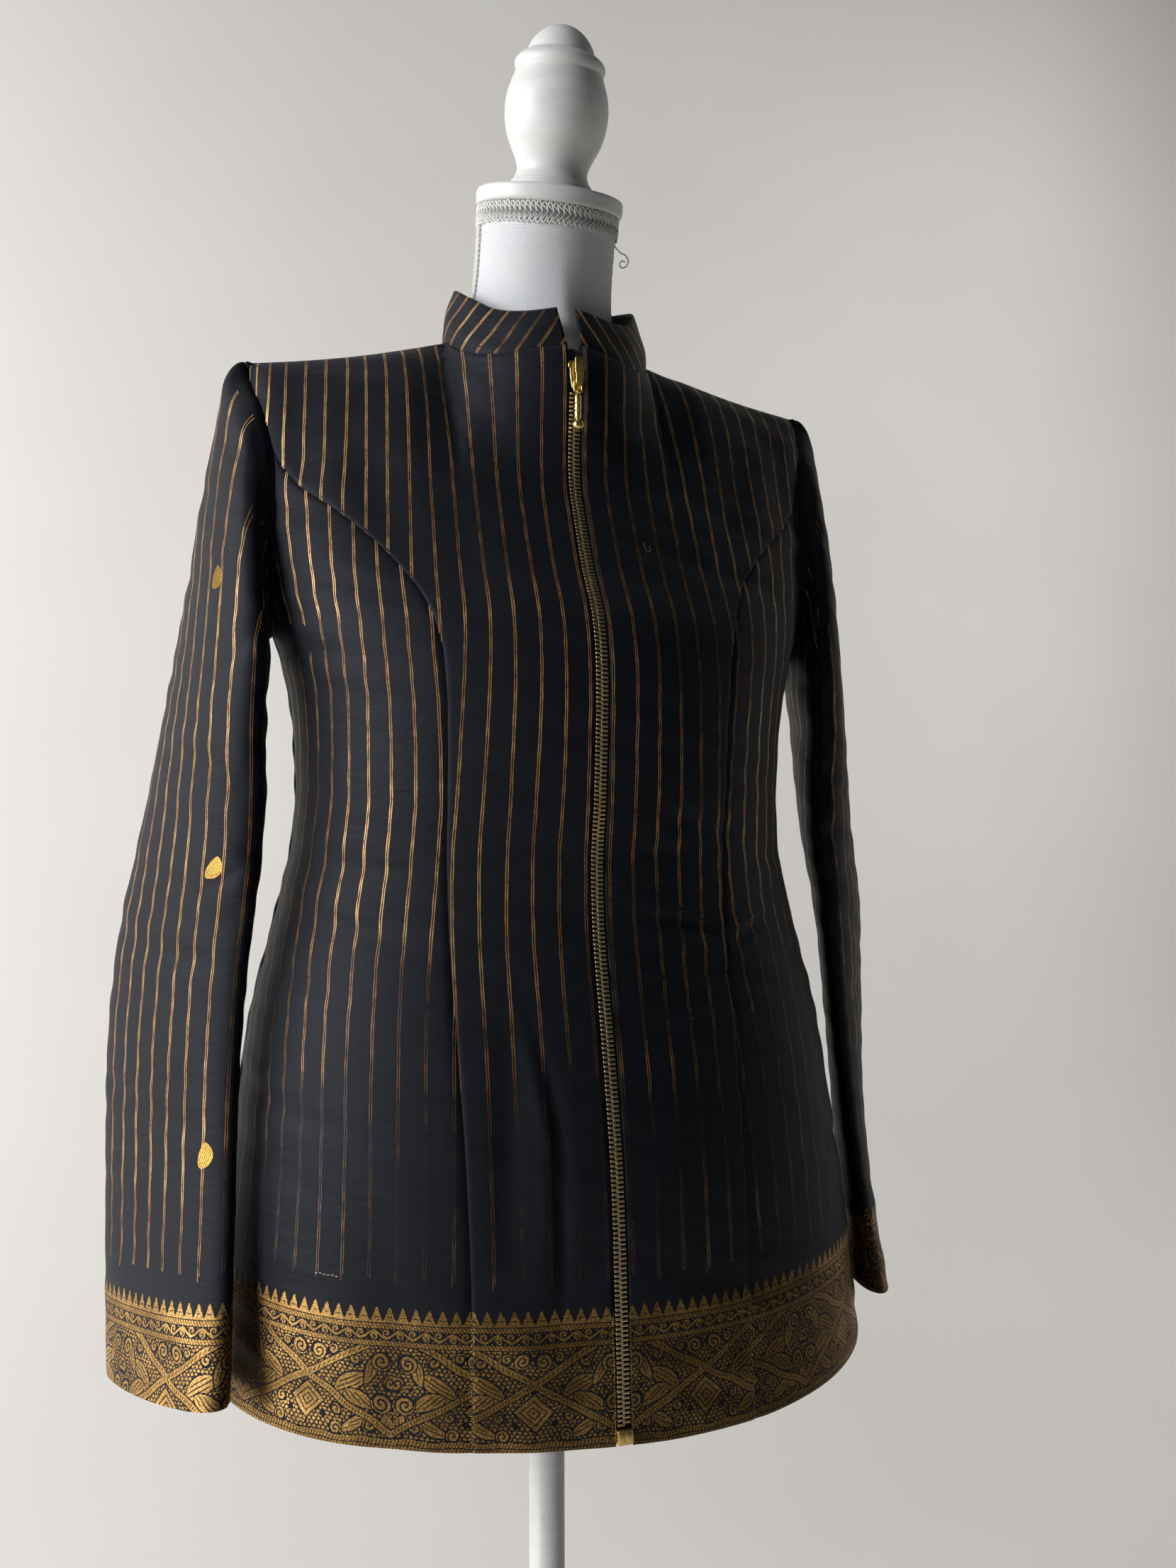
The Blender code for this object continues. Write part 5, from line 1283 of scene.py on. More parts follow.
def fieldPattern(s, depth):
    look = fieldLook
    line = look["line"]
    s = s + 0.0005 * np.sin(depth * 310.0 + s * 97.0)  # uneven beat of the loom
    depth = depth + 0.0004 * np.sin(s * 263.0 + depth * 71.0)
    x = (s % look["period"]) - look["period"] / 2
    side = np.abs(x)
    # ground: small scales, broken by fine diagonal lines
    row = np.floor(depth / 0.0019)
    across = ((s + 0.0013 * (row % 2)) / 0.0026) % 1.0 - 0.5
    scale = np.hypot(across * 0.0026, (depth / 0.0019) % 1.0 * 0.0019 - 0.0002)
    gold = np.abs(scale - 0.00125) > 0.00034
    for place, deep, length, width, angle, pitch, hatchAngle in fieldDrops:
        shape = paisleyShape(side - place, depth - deep, length, width, angle)
        along, _ = turnedBy(side - place, depth - deep, hatchAngle)
        gold = np.where(shape < line * 1.3, False, gold)
        gold = np.where(shape < 0.0, True, gold)
        gold = np.where((shape < -line * 1.8) & ((along / pitch) % 1.0 < 0.30), False, gold)
    for place, deep, radius, pitch, hand in fieldScrolls:
        r = np.hypot(side - place, depth - deep)
        gold = np.where(r < radius + line, False, gold)
        gold = np.where(spiral(side - place, depth - deep, radius, pitch, hand, 0.30), True, gold)
    for place, deep, radius in fieldHoles:
        gold = np.where(np.hypot(side - place, depth - deep) < radius, False, gold)
    # concentric diamond below each crossing
    diamond = side / 0.0098 + np.abs(depth - 0.0305) / 0.0092
    for low, high, value in ((0.0, 1.12, False), (0.0, 1.0, True), (0.62, 0.72, False), (0.28, 0.38, False),
                             (0.0, 0.09, False)):
        gold = np.where((diamond >= low) & (diamond < high), value, gold)
    gold = np.where((side < line / 2) & (depth > 0.0400) & (depth < 0.0446), False, gold)
    # trellis of two crossing bands
    away = np.abs(np.abs(depth - look["crossing"]) - look["slope"] * side) / math.hypot(1.0, look["slope"])
    gold = np.where(away < look["band"] + line, False, gold)
    dash = ((side + 0.5 * depth) / 0.0019) % 1.0
    gold = np.where((away < look["band"]) & ~((away < look["band"] * 0.45) & (dash < 0.32)), True, gold)
    # foot: a dark line, then close ticks down to the hem
    foot = depth > 0.0456
    gold = np.where(foot, ((s + 0.4 * (depth - 0.0456)) / 0.0018) % 1.0 > 0.28, gold)
    gold = np.where((depth > 0.0446) & (depth < 0.0453) | (depth > 0.0482) & (depth < 0.0487), False, gold)
    return gold


def borderPattern(s, v, top):
    # from the plain silk down: temple triangles, rope, vine, rope, field
    gold = np.zeros_like(s, bool)
    foot = top - 0.0074
    share = (v - foot) / 0.0074
    tier = np.floor(share * 5.999) / 6.0
    place = np.floor(s / 0.0068)
    tooth = np.abs(((s / 0.0068) % 1.0) - 0.5) * 2
    size = 0.97 + 0.05 * np.sin(place * 2.1)
    body = tooth < np.where(tier > 0.80, 0.16, (1.0 - tier) * 0.94) * size
    gap = ((share * 6.0) % 1.0 < 0.16) & (tooth < 0.55 * (1.0 - share)) & (tier > 0.05)
    gold |= (share > 0) & (share < 1.0) & body & ~gap
    high = foot - 0.0006
    gold |= ropeBand(s, v, high - 0.0024, high, 0.0019, 0.7)
    gold |= (v > foot - 0.0001) & (v < foot + 0.0007)
    vineTop = high - 0.0029
    vineLow = vineTop - 0.0052
    middle = (vineTop + vineLow) / 2
    period = 0.0134
    band = (v < vineTop) & (v > vineLow)
    wave = middle + 0.0017 * np.sin(2 * np.pi * s / period)
    gold |= band & (np.abs(v - wave) < 0.00062)
    for phase, sign in ((0.25, -1), (0.75, 1)):
        x = ((s / period - phase + 0.5) % 1.0 - 0.5) * period
        gold |= band & spiral(x, v - (middle + sign * 0.0008), 0.0021, 0.0018, sign, 0.29)
    gold |= band & (((s / 0.00335) % 1.0) < 0.22) & (np.abs(v - middle) > 0.0019)
    low = vineLow - 0.0005
    gold |= ropeBand(s, v, low - 0.0024, low, 0.0019, 0.7)
    fieldTop = low - 0.0024 - 0.0006
    gold |= (v < fieldTop) & fieldPattern(s, fieldTop - v)
    return gold


borderLook = {"sample": 0.00022, "row": 0.00050, "gapShare": 0.06, "proud": 0.00014, "longest": 0.0035}


def goldRuns(gold, s):
    # where each float of gold thread starts and ends along one row
    step = s[1] - s[0]
    change = np.diff(np.concatenate([[0], gold.astype(int), [0]]))
    starts, ends = np.nonzero(change > 0)[0], np.nonzero(change < 0)[0]
    runs = []
    for a, b in zip(starts, ends):
        if b - a < 2:
            continue
        low, high = s[a] - step / 2, s[b - 1] + step / 2
        pieces = int(math.ceil((high - low) / borderLook["longest"]))
        cuts = np.linspace(low, high, pieces + 1)
        runs += list(zip(cuts[:-1], cuts[1:]))
    return np.array(runs)


def addBorder(builder, cloth, top, startAlong, backwards=False):
    look = borderLook
    upColumn = cloth.up[:, cloth.up.shape[1] // 2]
    for index in range(int(top / look["row"])):
        low, high = (index + look["gapShare"]) * look["row"], (index + 1 - look["gapShare"]) * look["row"]
        ends = np.interp([low, high], upColumn, np.arange(len(upColumn)))
        alongRow = cloth.along[int(round(ends.mean()))]
        first, last = min(alongRow[0], alongRow[-1]), max(alongRow[0], alongRow[-1])
        s = np.arange(first + 0.0003, last - 0.0003, look["sample"])
        if len(s) < 4:
            continue
        gold = borderPattern(s + startAlong + 9.3, np.full_like(s, (index + 0.5) * look["row"]), top)
        runs = goldRuns(gold, s)
        if not len(runs):
            continue
        layRuns(builder, cloth, runs, ends, alongRow, (startAlong, (index + 0.5) * look["row"]), backwards)


def layRuns(builder, cloth, runs, ends, alongRow, place, backwards=False):
    # one flat float of thread for each run of a row
    edges = runs.ravel()
    places = columnOf(alongRow, edges)
    corners = []
    for end, proud in zip(ends, (borderLook["proud"] + 0.00007, borderLook["proud"])):
        r = np.full(len(edges), end)
        corners.append(bilinear(cloth.points, r, places) + bilinear(cloth.normals, r, places) * proud)
    start = len(builder.vertices)
    builder.vertices += list(corners[0]) + list(corners[1])
    builder.uv += [(e + place[0], place[1]) for e in edges] * 2
    count = len(edges)
    for span in range(len(runs)):
        a = start + 2 * span
        face = (a, a + 1, a + 1 + count, a + count)
        builder.faces.append(face[::-1] if backwards else face)


def addMotif(builder, cloth, along, up, length, width, angle):
    # a small woven drop: a solid rim round slanted floats
    row = 0.00036
    middleRow = np.interp(up, cloth.up[:, cloth.up.shape[1] // 2], np.arange(len(cloth.up)))
    column = int(columnOf(cloth.along[int(middleRow)], np.array([along]))[0])
    upColumn = cloth.up[:, column]
    s = np.arange(along - 0.008, along + 0.008, 0.00014)
    for index in range(-24, 24):
        low, high = up + (index + 0.08) * row, up + (index + 0.92) * row
        ends = np.interp([low, high], upColumn, np.arange(len(upColumn)))
        v = np.full_like(s, up + (index + 0.5) * row)
        shape = paisleyShape(s - along, v - up, length, width, angle)
        slant, _ = turnedBy(s - along, v - up, angle + 55.0)
        gold = (shape < 0) & ((shape > -0.0007) | ((slant / 0.0013) % 1.0 > 0.26))
        runs = goldRuns(gold, s)
        if len(runs):
            layRuns(builder, cloth, runs, ends, cloth.along[int(round(ends.mean()))], (0.0, v[0]))


def placesOn(cloth, spots):
    # the (row, column) of spots given by their distance along and up the cloth
    places = []
    for along, up in spots:
        row = float(np.interp(up, cloth.up[:, cloth.up.shape[1] // 2], np.arange(len(cloth.up))))
        places.append((row, float(columnOf(cloth.along[int(round(row))], np.array([along]))[0])))
    return np.array(places)


def addThread(builder, cloth, spots, halfWidth, proud=0.00016):
    places = placesOn(cloth, spots)
    points = bilinear(cloth.points, places[:, 0], places[:, 1])
    normals = unit(bilinear(cloth.normals, places[:, 0], places[:, 1]))
    builder.add(points, normals, np.full(len(points), halfWidth), proud)
    builder.uv += [spot for spot in spots for _ in range(2)]


class BorderBuilder(RibbonBuilder):
    def __init__(self):
        super().__init__()
        self.uv = []

    def finish(self, name, material):
        item = meshObject(name, self.vertices, self.faces, material, smooth=False, uv=self.uv)
        finished(item)


hemBorderTop = 0.0700
cuffBorderTop = 0.0495
for mark, side in (("right", -1), ("left", 1)):
    builder = BorderBuilder()
    for name, shift in (("centreFront_", 0.0), ("sideFront_", 0.137 * side), ("backPanel_", 0.013)):
        addBorder(builder, clothPieces[name + mark], hemBorderTop, shift, name == "backPanel_")
    builder.finish("hemBorder_" + mark, goldThread)
    builder = BorderBuilder()
    for name, shift in (("topSleeve_", 0.006), ("underSleeve_", 0.027)):
        addBorder(builder, clothPieces[name + mark], cuffBorderTop, shift)
    builder.finish("cuffBorder_" + mark, goldThread)
print("borders woven")


motifRows = (  # along and up the sleeve, length, width, angle
    (0.0412, 0.4404, 0.0135, 0.0120, 98.0),
    (0.0545, 0.2771, 0.0130, 0.0115, 80.0),
    (0.0627, 0.1232, 0.0130, 0.0110, 96.0),
)


def makeMotifs():
    # three gold drops down the right sleeve's outer front
    builder = BorderBuilder()
    for row in motifRows:
        addMotif(builder, clothPieces["topSleeve_right"], *row)
    builder.finish("sleeveMotifs", motifThread)
    # a few caught threads
    builder = BorderBuilder()
    for start in np.arange(-0.0008, 0.0112, 0.0024):
        up = 0.0836 + 0.0002 * math.sin(start * 900.0)
        spots = [(start + step, up) for step in (0.0, 0.0007, 0.0014)]
        addThread(builder, clothPieces["sideFront_right"], spots, 0.00018)
    for hook in ([(0.0405, 0.4745), (0.0412, 0.4722), (0.0424, 0.4700), (0.0438, 0.4690), (0.0447, 0.4702)],
                 [(0.0447, 0.4702), (0.0450, 0.4716), (0.0444, 0.4728)]):
        addThread(builder, clothPieces["centreFront_left"], hook, 0.00022)
    builder.finish("caughtThreads", paleThread)


makeMotifs()

# Dress form: torso and neck under the cloth, in one skin
formLook = {"shrink": 0.0038, "drop": 0.0022, "neckRadius": 0.042, "lean": math.radians(18.0)}
neckTopZ, neckTopY, neckRun, discY = 0.690, -0.0095, 0.024, -0.0115


def formEase(height):
    share = min(max((0.44 - height) / 0.20, 0.0), 1.0)
    ease = [high + (low - high) * share for high, low in zip((0.0130, 0.0108, 0.0112), (0.016, 0.018, 0.016))]
    if height < 0.04:
        ease = [value + 0.012 * (0.04 - height) / 0.01 for value in ease]
    return ease


def neckPoint(angle, share, proud=0.0):
    away = np.abs(angle)
    base = necklinePoint(away, formLook["shrink"], formLook["drop"])
    turn = np.radians(away)
    radius = formLook["neckRadius"]
    topZ = neckTopZ + math.tan(formLook["lean"]) * (neckTopY - radius * np.cos(turn) - discY)
    draw = 1.0 - (1.0 - share) ** (2.5 + 2.5 * np.sin(turn))
    wallY = neckTopY + neckRun * (1.0 - share) - radius * np.cos(turn)
    x = base[..., 0] + (radius * np.sin(turn) - base[..., 0]) * draw + proud * np.sin(turn)
    y = base[..., 1] + (wallY - base[..., 1]) * draw - proud * np.cos(turn)
    z = base[..., 2] + (topZ - base[..., 2]) * share
    return np.stack([np.where(angle < 0, -x, x), y, z + hemHeight], -1)


def neckShare(angle, belowTop):
    away = np.abs(angle)
    base = necklinePoint(away, formLook["shrink"], formLook["drop"])
    topY = neckTopY - formLook["neckRadius"] * np.cos(np.radians(away))
    topZ = neckTopZ + math.tan(formLook["lean"]) * (topY - discY)
    return 1.0 - belowTop / (topZ - base[..., 2])


def weld(mesh, distance):
    # close corners become one and all faces look outwards
    shape = bmesh.new()
    shape.from_mesh(mesh)
    bmesh.ops.remove_doubles(shape, verts=shape.verts, dist=distance)
    bmesh.ops.recalc_face_normals(shape, faces=shape.faces)
    shape.to_mesh(mesh)
    shape.free()


def makeForm():
    reach = (necklineHalf - formLook["shrink"]) * np.sin(np.radians(np.linspace(0, 90, 19)))
    halfWidth = bodyRows[-1][1] - 0.0130
    steps = np.arcsin((reach / halfWidth) ** (2.30 / 2)) / (math.pi / 2)
    steps = np.concatenate([steps, np.linspace(steps[-1], 1.0, 16)[1:]])
    foot = [0.030, 0.0325, 0.036, 0.040]
    heights = np.concatenate([foot, np.linspace(0.05, 0.50, 46), np.linspace(0.508, 0.60, 13)])
    rows, uvs = [], []
    for height in heights:
        ease = formEase(height)
        loops = []
        for side, face, order in ((1, "front", steps), (1, "back", steps[::-1][1:]), (-1, "back", steps[1:]),
                                  (-1, "front", steps[::-1][1:-1])):
            level = np.full_like(order, height)
            points = bodyPoint(order, level, face, ease, formLook["shrink"], formLook["drop"])
            loops.append(points * np.array([side, 1, 1]) + np.array([0, 0, hemHeight]))
        loop = np.concatenate(loops)
        length = np.cumsum(np.linalg.norm(np.diff(loop, axis=0, prepend=loop[:1]), axis=1))
        rows.append(loop)
        uvs.append(np.stack([length, np.full_like(length, height)], -1))
    rows, uvs = np.array(rows), np.array(uvs)
    faces = gridFaces(rows.shape[0], rows.shape[1], closed=True)
    faces.append(tuple(range(rows.shape[1]))[::-1])
    vertices, uv = list(rows.reshape(-1, 3)), list(uvs.reshape(-1, 2))
    angles = np.arange(0.0, 360.0, 5.0)
    angles = np.where(angles > 180.0, angles - 360.0, angles)
    first = len(vertices)
    shares = np.concatenate([np.linspace(0.0, 0.3, 12), np.linspace(0.34, 1.0, 14)])
    for share in shares:
        vertices += list(neckPoint(angles, np.full_like(angles, share)))
        uv += [(0.044 * math.radians(angle), 0.60 + 0.09 * share) for angle in angles]
    faces += [tuple(first + i for i in face) for face in gridFaces(len(shares), len(angles), closed=True)]
    faces.append(tuple(first + (len(shares) - 1) * len(angles) + i for i in range(len(angles))))
    item = meshObject("formTorso", vertices, faces, canvas, uv=uv)
    weld(item.data, 0.0001)
    item.data.shade_smooth()
    finished(item, node="form_torso")


makeForm()
print("form made")


def turnedPiece(name, rows, node, matrix=Matrix.Identity(4), segments=96, fine=4):
    # profile rows of height and radius, from the foot up, spun about the upright axis
    rows = np.array(rows, float)
    spans = zip(rows[:-1, 0], rows[1:, 0])
    where = np.concatenate([np.linspace(a, b, fine, endpoint=False) for a, b in spans])
    where = np.append(where, rows[-1, 0])
    radii = tableAt(rows, where)[0] if fine > 1 else rows[:, 1]
    mesh = bpy.data.meshes.new(name)
    profile = [(0.0, 0.0, where[0])] + [(max(r, 0.0), 0.0, z) for z, r in zip(where, radii)]
    profile.append((0.0, 0.0, where[-1] + (0.00002 if radii[-1] > 0.0002 else 0.0)))
    mesh.from_pydata(profile, [(i, i + 1) for i in range(len(profile) - 1)], [])
    item = linked(name, mesh)
    turn = item.modifiers.new("turn", "SCREW")
    turn.steps = turn.render_steps = segments
    turn.use_merge_vertices = True
    turn.merge_threshold = 0.00002
    turn.use_smooth_shade = True
    graph = bpy.context.evaluated_depsgraph_get()
    item.data = bpy.data.meshes.new_from_object(item.evaluated_get(graph))
    item.modifiers.clear()
    weld(item.data, 0.00002)
    item.data.transform(matrix)
    item.data.materials.clear()
    item.data.materials.append(paint)
    item.data.shade_smooth()
    finished(item, node=node)


# Cap disc and turned finial, in painted wood: distance up the axis, radius
discRows = (
    (0.0, 0.0432), (0.0004, 0.044), (0.0011, 0.0446), (0.0022, 0.0449), (0.007, 0.045), (0.0082, 0.0448),
    (0.009, 0.0442), (0.0095, 0.043),
)
finialRows = (
    (0.0, 0.0276), (0.001, 0.028), (0.0022, 0.0279), (0.003, 0.0272), (0.0033, 0.0262), (0.0046, 0.0258),
    (0.0051, 0.025), (0.0062, 0.0246), (0.0067, 0.0238), (0.0085, 0.0228), (0.011, 0.0218),
    (0.0138, 0.0216), (0.018, 0.0228), (0.024, 0.0258), (0.03, 0.0286), (0.038, 0.0306), (0.047, 0.0312),
    (0.055, 0.03), (0.061, 0.028), (0.0652, 0.0264), (0.0664, 0.0261), (0.0671, 0.0266), (0.069, 0.0271),
    (0.071, 0.0268), (0.073, 0.0254), (0.0746, 0.0234), (0.0758, 0.0213), (0.0765, 0.0203),
    (0.0778, 0.0198), (0.0805, 0.0186), (0.0838, 0.0163), (0.0868, 0.0133), (0.0894, 0.0095),
    (0.0911, 0.0054), (0.0919, 0.002),
)


def neckAxisMatrix(up):
    place = Vector((0.0, discY, neckTopZ + hemHeight))
    lean = Matrix.Rotation(formLook["lean"], 4, "X")
    return Matrix.Translation(place) @ lean @ Matrix.Translation((0, 0, up))


flangeRows = (  # distance below the stand's top, radius
    (0.024, 0.0113), (0.0235, 0.015), (0.018, 0.0166), (0.0125, 0.0205), (0.01, 0.028), (0.0075, 0.037),
    (0.005, 0.043), (0.0035, 0.0448), (0.001, 0.045), (0.0, 0.0446),
)
baseRows = (
    (0.0, 0.169), (0.0008, 0.1698), (0.0025, 0.17), (0.004, 0.1696), (0.0052, 0.168), (0.0064, 0.165),
    (0.0075, 0.158), (0.0102, 0.135), (0.0128, 0.085), (0.0148, 0.032), (0.0162, 0.0235),
    (0.0174, 0.021), (0.018, 0.018),
)
standTop = 0.7997
poleRows = ((0.0183, 0.0110), (0.40, 0.0110), (standTop - 0.0242, 0.0110))
turnedPiece("capDisc", discRows, "cap_disc", neckAxisMatrix(0.0003))
turnedPiece("finialTurned", finialRows, "finial", neckAxisMatrix(0.0101))
turnedPiece("poleFlange", [(standTop - below, radius) for below, radius in flangeRows], "pole_flange")
turnedPiece("poleTube", poleRows, "pole", segments=64, fine=1)
turnedPiece("roundBase", baseRows, "base")
print("stand turned")


def repeatOn(name, points, along, outward, template, material, slot, sizes):
    # one small shape repeated on points that carry their own directions
    mesh = bpy.data.meshes.new(name)
    mesh.from_pydata([tuple(p) for p in points], [], [])
    for key, values in (("along", along), ("outward", outward)):
        attribute = mesh.attributes.new(key, "FLOAT_VECTOR", "POINT")
        attribute.data.foreach_set("vector", np.asarray(values, float).ravel())
    item = linked(name, mesh)
    tree = bpy.data.node_groups.new(name + "Repeat", "GeometryNodeTree")
    tree.interface.new_socket("Geometry", in_out="INPUT", socket_type="NodeSocketGeometry")
    identifiers = {}
    for key, kind in (("Scale", "NodeSocketFloat"), ("Jitter", "NodeSocketFloat"), ("Seed", "NodeSocketInt")):
        identifiers[key] = tree.interface.new_socket(key, in_out="INPUT", socket_type=kind).identifier
    tree.interface.new_socket("Geometry", in_out="OUTPUT", socket_type="NodeSocketGeometry")
    nodes, links = tree.nodes, tree.links
    start, end = nodes.new("NodeGroupInput"), nodes.new("NodeGroupOutput")
    turns = []
    for key, axis, pivot in (("along", "X", "AUTO"), ("outward", "Z", "X")):
        read = nodes.new("GeometryNodeInputNamedAttribute")
        read.data_type = "FLOAT_VECTOR"
        read.inputs["Name"].default_value = key
        turn = nodes.new("FunctionNodeAlignRotationToVector")
        turn.axis, turn.pivot_axis = axis, pivot
        links.new(read.outputs["Attribute"], turn.inputs["Vector"])
        turns.append(turn)
    links.new(turns[0].outputs[0], turns[1].inputs["Rotation"])
    shape = nodes.new("GeometryNodeObjectInfo")
    shape.inputs["Object"].default_value = template
    low, high = nodes.new("ShaderNodeMath"), nodes.new("ShaderNodeMath")
    low.operation, high.operation = "SUBTRACT", "ADD"
    pick = nodes.new("FunctionNodeRandomValue")
    pick.data_type = "FLOAT"
    for edge, socket in ((low, "Min"), (high, "Max")):
        links.new(start.outputs["Scale"], edge.inputs[0])
        links.new(start.outputs["Jitter"], edge.inputs[1])
        links.new(edge.outputs[0], [s for s in pick.inputs if s.name == socket and s.type == "VALUE"][0])
    links.new(start.outputs["Seed"], pick.inputs["Seed"])
    place = nodes.new("GeometryNodeInstanceOnPoints")
    links.new(start.outputs["Geometry"], place.inputs["Points"])
    links.new(shape.outputs["Geometry"], place.inputs["Instance"])
    links.new(turns[1].outputs[0], place.inputs["Rotation"])
    links.new([s for s in pick.outputs if s.type == "VALUE"][0], place.inputs["Scale"])
    real = nodes.new("GeometryNodeRealizeInstances")
    finish = nodes.new("GeometryNodeSetMaterial")
    finish.inputs["Material"].default_value = material
    links.new(place.outputs[0], real.inputs[0])
    links.new(real.outputs[0], finish.inputs["Geometry"])
    links.new(finish.outputs[0], end.inputs[0])
    modifier = item.modifiers.new("repeat", "NODES")
    modifier.node_group = tree
    for key, value in sizes.items():
        modifier[identifiers[key]] = value
    graph = bpy.context.evaluated_depsgraph_get()
    item.data = bpy.data.meshes.new_from_object(item.evaluated_get(graph))
    item.modifiers.clear()
    item.data.shade_smooth()
    return finished(item)


def templateMesh(name, vertices, faces):
    mesh = bpy.data.meshes.new(name)
    mesh.from_pydata([tuple(map(float, v)) for v in vertices], [], faces)
    mesh.shade_smooth()
    return bpy.data.objects.new(name, mesh)


def tubeParts(path, radius, sides=6, closed=False, flat=1.0):
    # a cord along a path; flat squeezes it towards the plane of the path
    path = np.asarray(path, float)
    if closed:
        tangent = unit(np.roll(path, -1, 0) - np.roll(path, 1, 0))
    else:
        tangent = unit(np.gradient(path, axis=0))
    low = np.ptp(path[:, 2]) < 0.5 * np.ptp(path[:, :2])
    reference = np.array([0.0, 0.0, 1.0] if low else [0.0, -1.0, 0.0])
    out = unit(np.cross(tangent, reference))
    up = unit(np.cross(out, tangent))
    turns = 2 * math.pi * np.arange(sides) / sides
    rings = (path[:, None] + radius * (np.cos(turns)[None, :, None] * out[:, None]
                                       + flat * np.sin(turns)[None, :, None] * up[:, None]))
    rows = len(path)
    faces = gridFaces(rows, sides, closed=True)
    if closed:
        faces += [(
            (rows - 1) * sides + i, (rows - 1) * sides + (i + 1) % sides, (i + 1) % sides, i)
            for i in range(sides)]
    else:
        faces += [tuple(range(sides))[::-1], tuple((rows - 1) * sides + i for i in range(sides))]
    return rings.reshape(-1, 3), faces


def makeSeamFlecks():
    # ends of gold weft that show where the border is cut and turned in at a seam
    points, along, outward = [], [], []
    for mark in ("right", "left"):
        cloth = clothPieces["centreFront_" + mark]
        for column in (0, -1):
            edge, up = cloth.points[:, column], cloth.up[:, column]
            inner = cloth.points[:, 3 if column == 0 else -4]
            normal = cloth.normals[:, column] + (edge - inner) * 90.0
            wanted = np.arange(0.0012, hemBorderTop - 0.004, 0.00115)
            wanted = wanted + 0.0003 * np.sin(wanted * 5300.0)
            spots = np.stack([np.interp(wanted, up, edge[:, axis]) for axis in range(3)], -1)
            out = unit(np.stack([np.interp(wanted, up, normal[:, axis]) for axis in range(3)], -1))
            points.append(spots + out * 0.00008)
            along.append(np.tile([1.0, 0.0, 0.25], (len(spots), 1)))
            outward.append(out)
    shape = bmesh.new()
    bmesh.ops.create_uvsphere(shape, u_segments=6, v_segments=4, radius=1.0)
    bmesh.ops.scale(shape, vec=(0.00062, 0.00022, 0.00018), verts=shape.verts)
    mesh = bpy.data.meshes.new("fleck")
    shape.to_mesh(mesh)
    shape.free()
    template = bpy.data.objects.new("fleck", mesh)
    places = [np.concatenate(rows) for rows in (points, along, outward)]
    repeatOn("seamFlecks", *places, template, brass, "navy_silk", {"Scale": 1.0, "Jitter": 0.35, "Seed": 11})
    bpy.data.objects.remove(template)


makeSeamFlecks()

# Gimp braid round the neck: two rows of slanted loops that meet in chevrons
braidLook = {"period": 0.0033, "height": 0.0108, "cord": 0.00050, "below": 0.0004}


def braidLoop(reach, lean, width, cord):
    # the loop leaves the middle line, rounds its head and comes back
    turn = np.linspace(-2.5, 2.5, 11)
    path = [(0.0, 0.0, 0.0006)]
    direction = math.atan2(reach, lean)
    for angle in turn:
        a = direction + angle * 0.92
        grow = 0.5 * width
        path.append((lean * 0.82 + grow * math.cos(a), reach * 0.86 + grow * math.sin(a), 0.00035))
    path.append((0.0009, 0.0002, 0.0002))
    return tubeParts(path, cord, sides=5)


def addLooseEnd(item):
    # the braid's cut end, curled away from the neck
    knots = np.array([
        (0.044, 0.0, 1.4562), (0.0456, 0.0, 1.4548), (0.0472, -0.0005, 1.4512), (0.0502, -0.001, 1.4477),
        (0.0535, -0.001, 1.4466), (0.0559, -0.0005, 1.4436), (0.0548, 0.0004, 1.4402),
        (0.0518, 0.0008, 1.439), (0.0503, 0.0004, 1.4412), (0.052, -0.0004, 1.443),
        (0.0538, -0.0008, 1.4421),])
    rows = np.column_stack([np.arange(len(knots)), knots])
    path = np.stack(tableAt(rows, np.linspace(0, len(knots) - 1, 61)), -1)
    vertices, faces = tubeParts(path, 0.00042, sides=8)
    shape = bmesh.new()
    shape.from_mesh(item.data)
    made = [shape.verts.new(v) for v in vertices]
    for face in faces:
        shape.faces.new([made[i] for i in face]).smooth = True
    shape.to_mesh(item.data)
    shape.free()


def makeNeckBraid():
    look = braidLook
    count = int(2 * math.pi * 0.0438 / look["period"])
    angles = np.linspace(-180.0, 180.0, count, endpoint=False)
    middle = look["below"] + look["height"] / 2
    share = neckShare(angles, middle)
    proud = 0.0009
    points = neckPoint(angles, share, proud)
    along = unit(neckPoint(angles + 0.5, neckShare(angles + 0.5, middle), proud) - points)
    upwards = unit(neckPoint(angles, np.minimum(share + 0.02, 1.0), proud) - points)
    outward = unit(np.cross(along, upwards))
    reach = look["height"] / 2 - look["cord"]
    for mark, sign in (("Upper", 1), ("Lower", -1)):
        parts = braidLoop(sign * reach, -0.0030, 0.0023, look["cord"])
        template = templateMesh("loop" + mark, *parts)
        sizes = {"Scale": 1.0, "Jitter": 0.05, "Seed": 4 + sign}
        item = repeatOn("neckBraid" + mark, points, along, outward, template, gimp, "white_braid", sizes)
        if sign > 0:
            addLooseEnd(item)
            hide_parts("neck_braid")
        bpy.data.objects.remove(template)


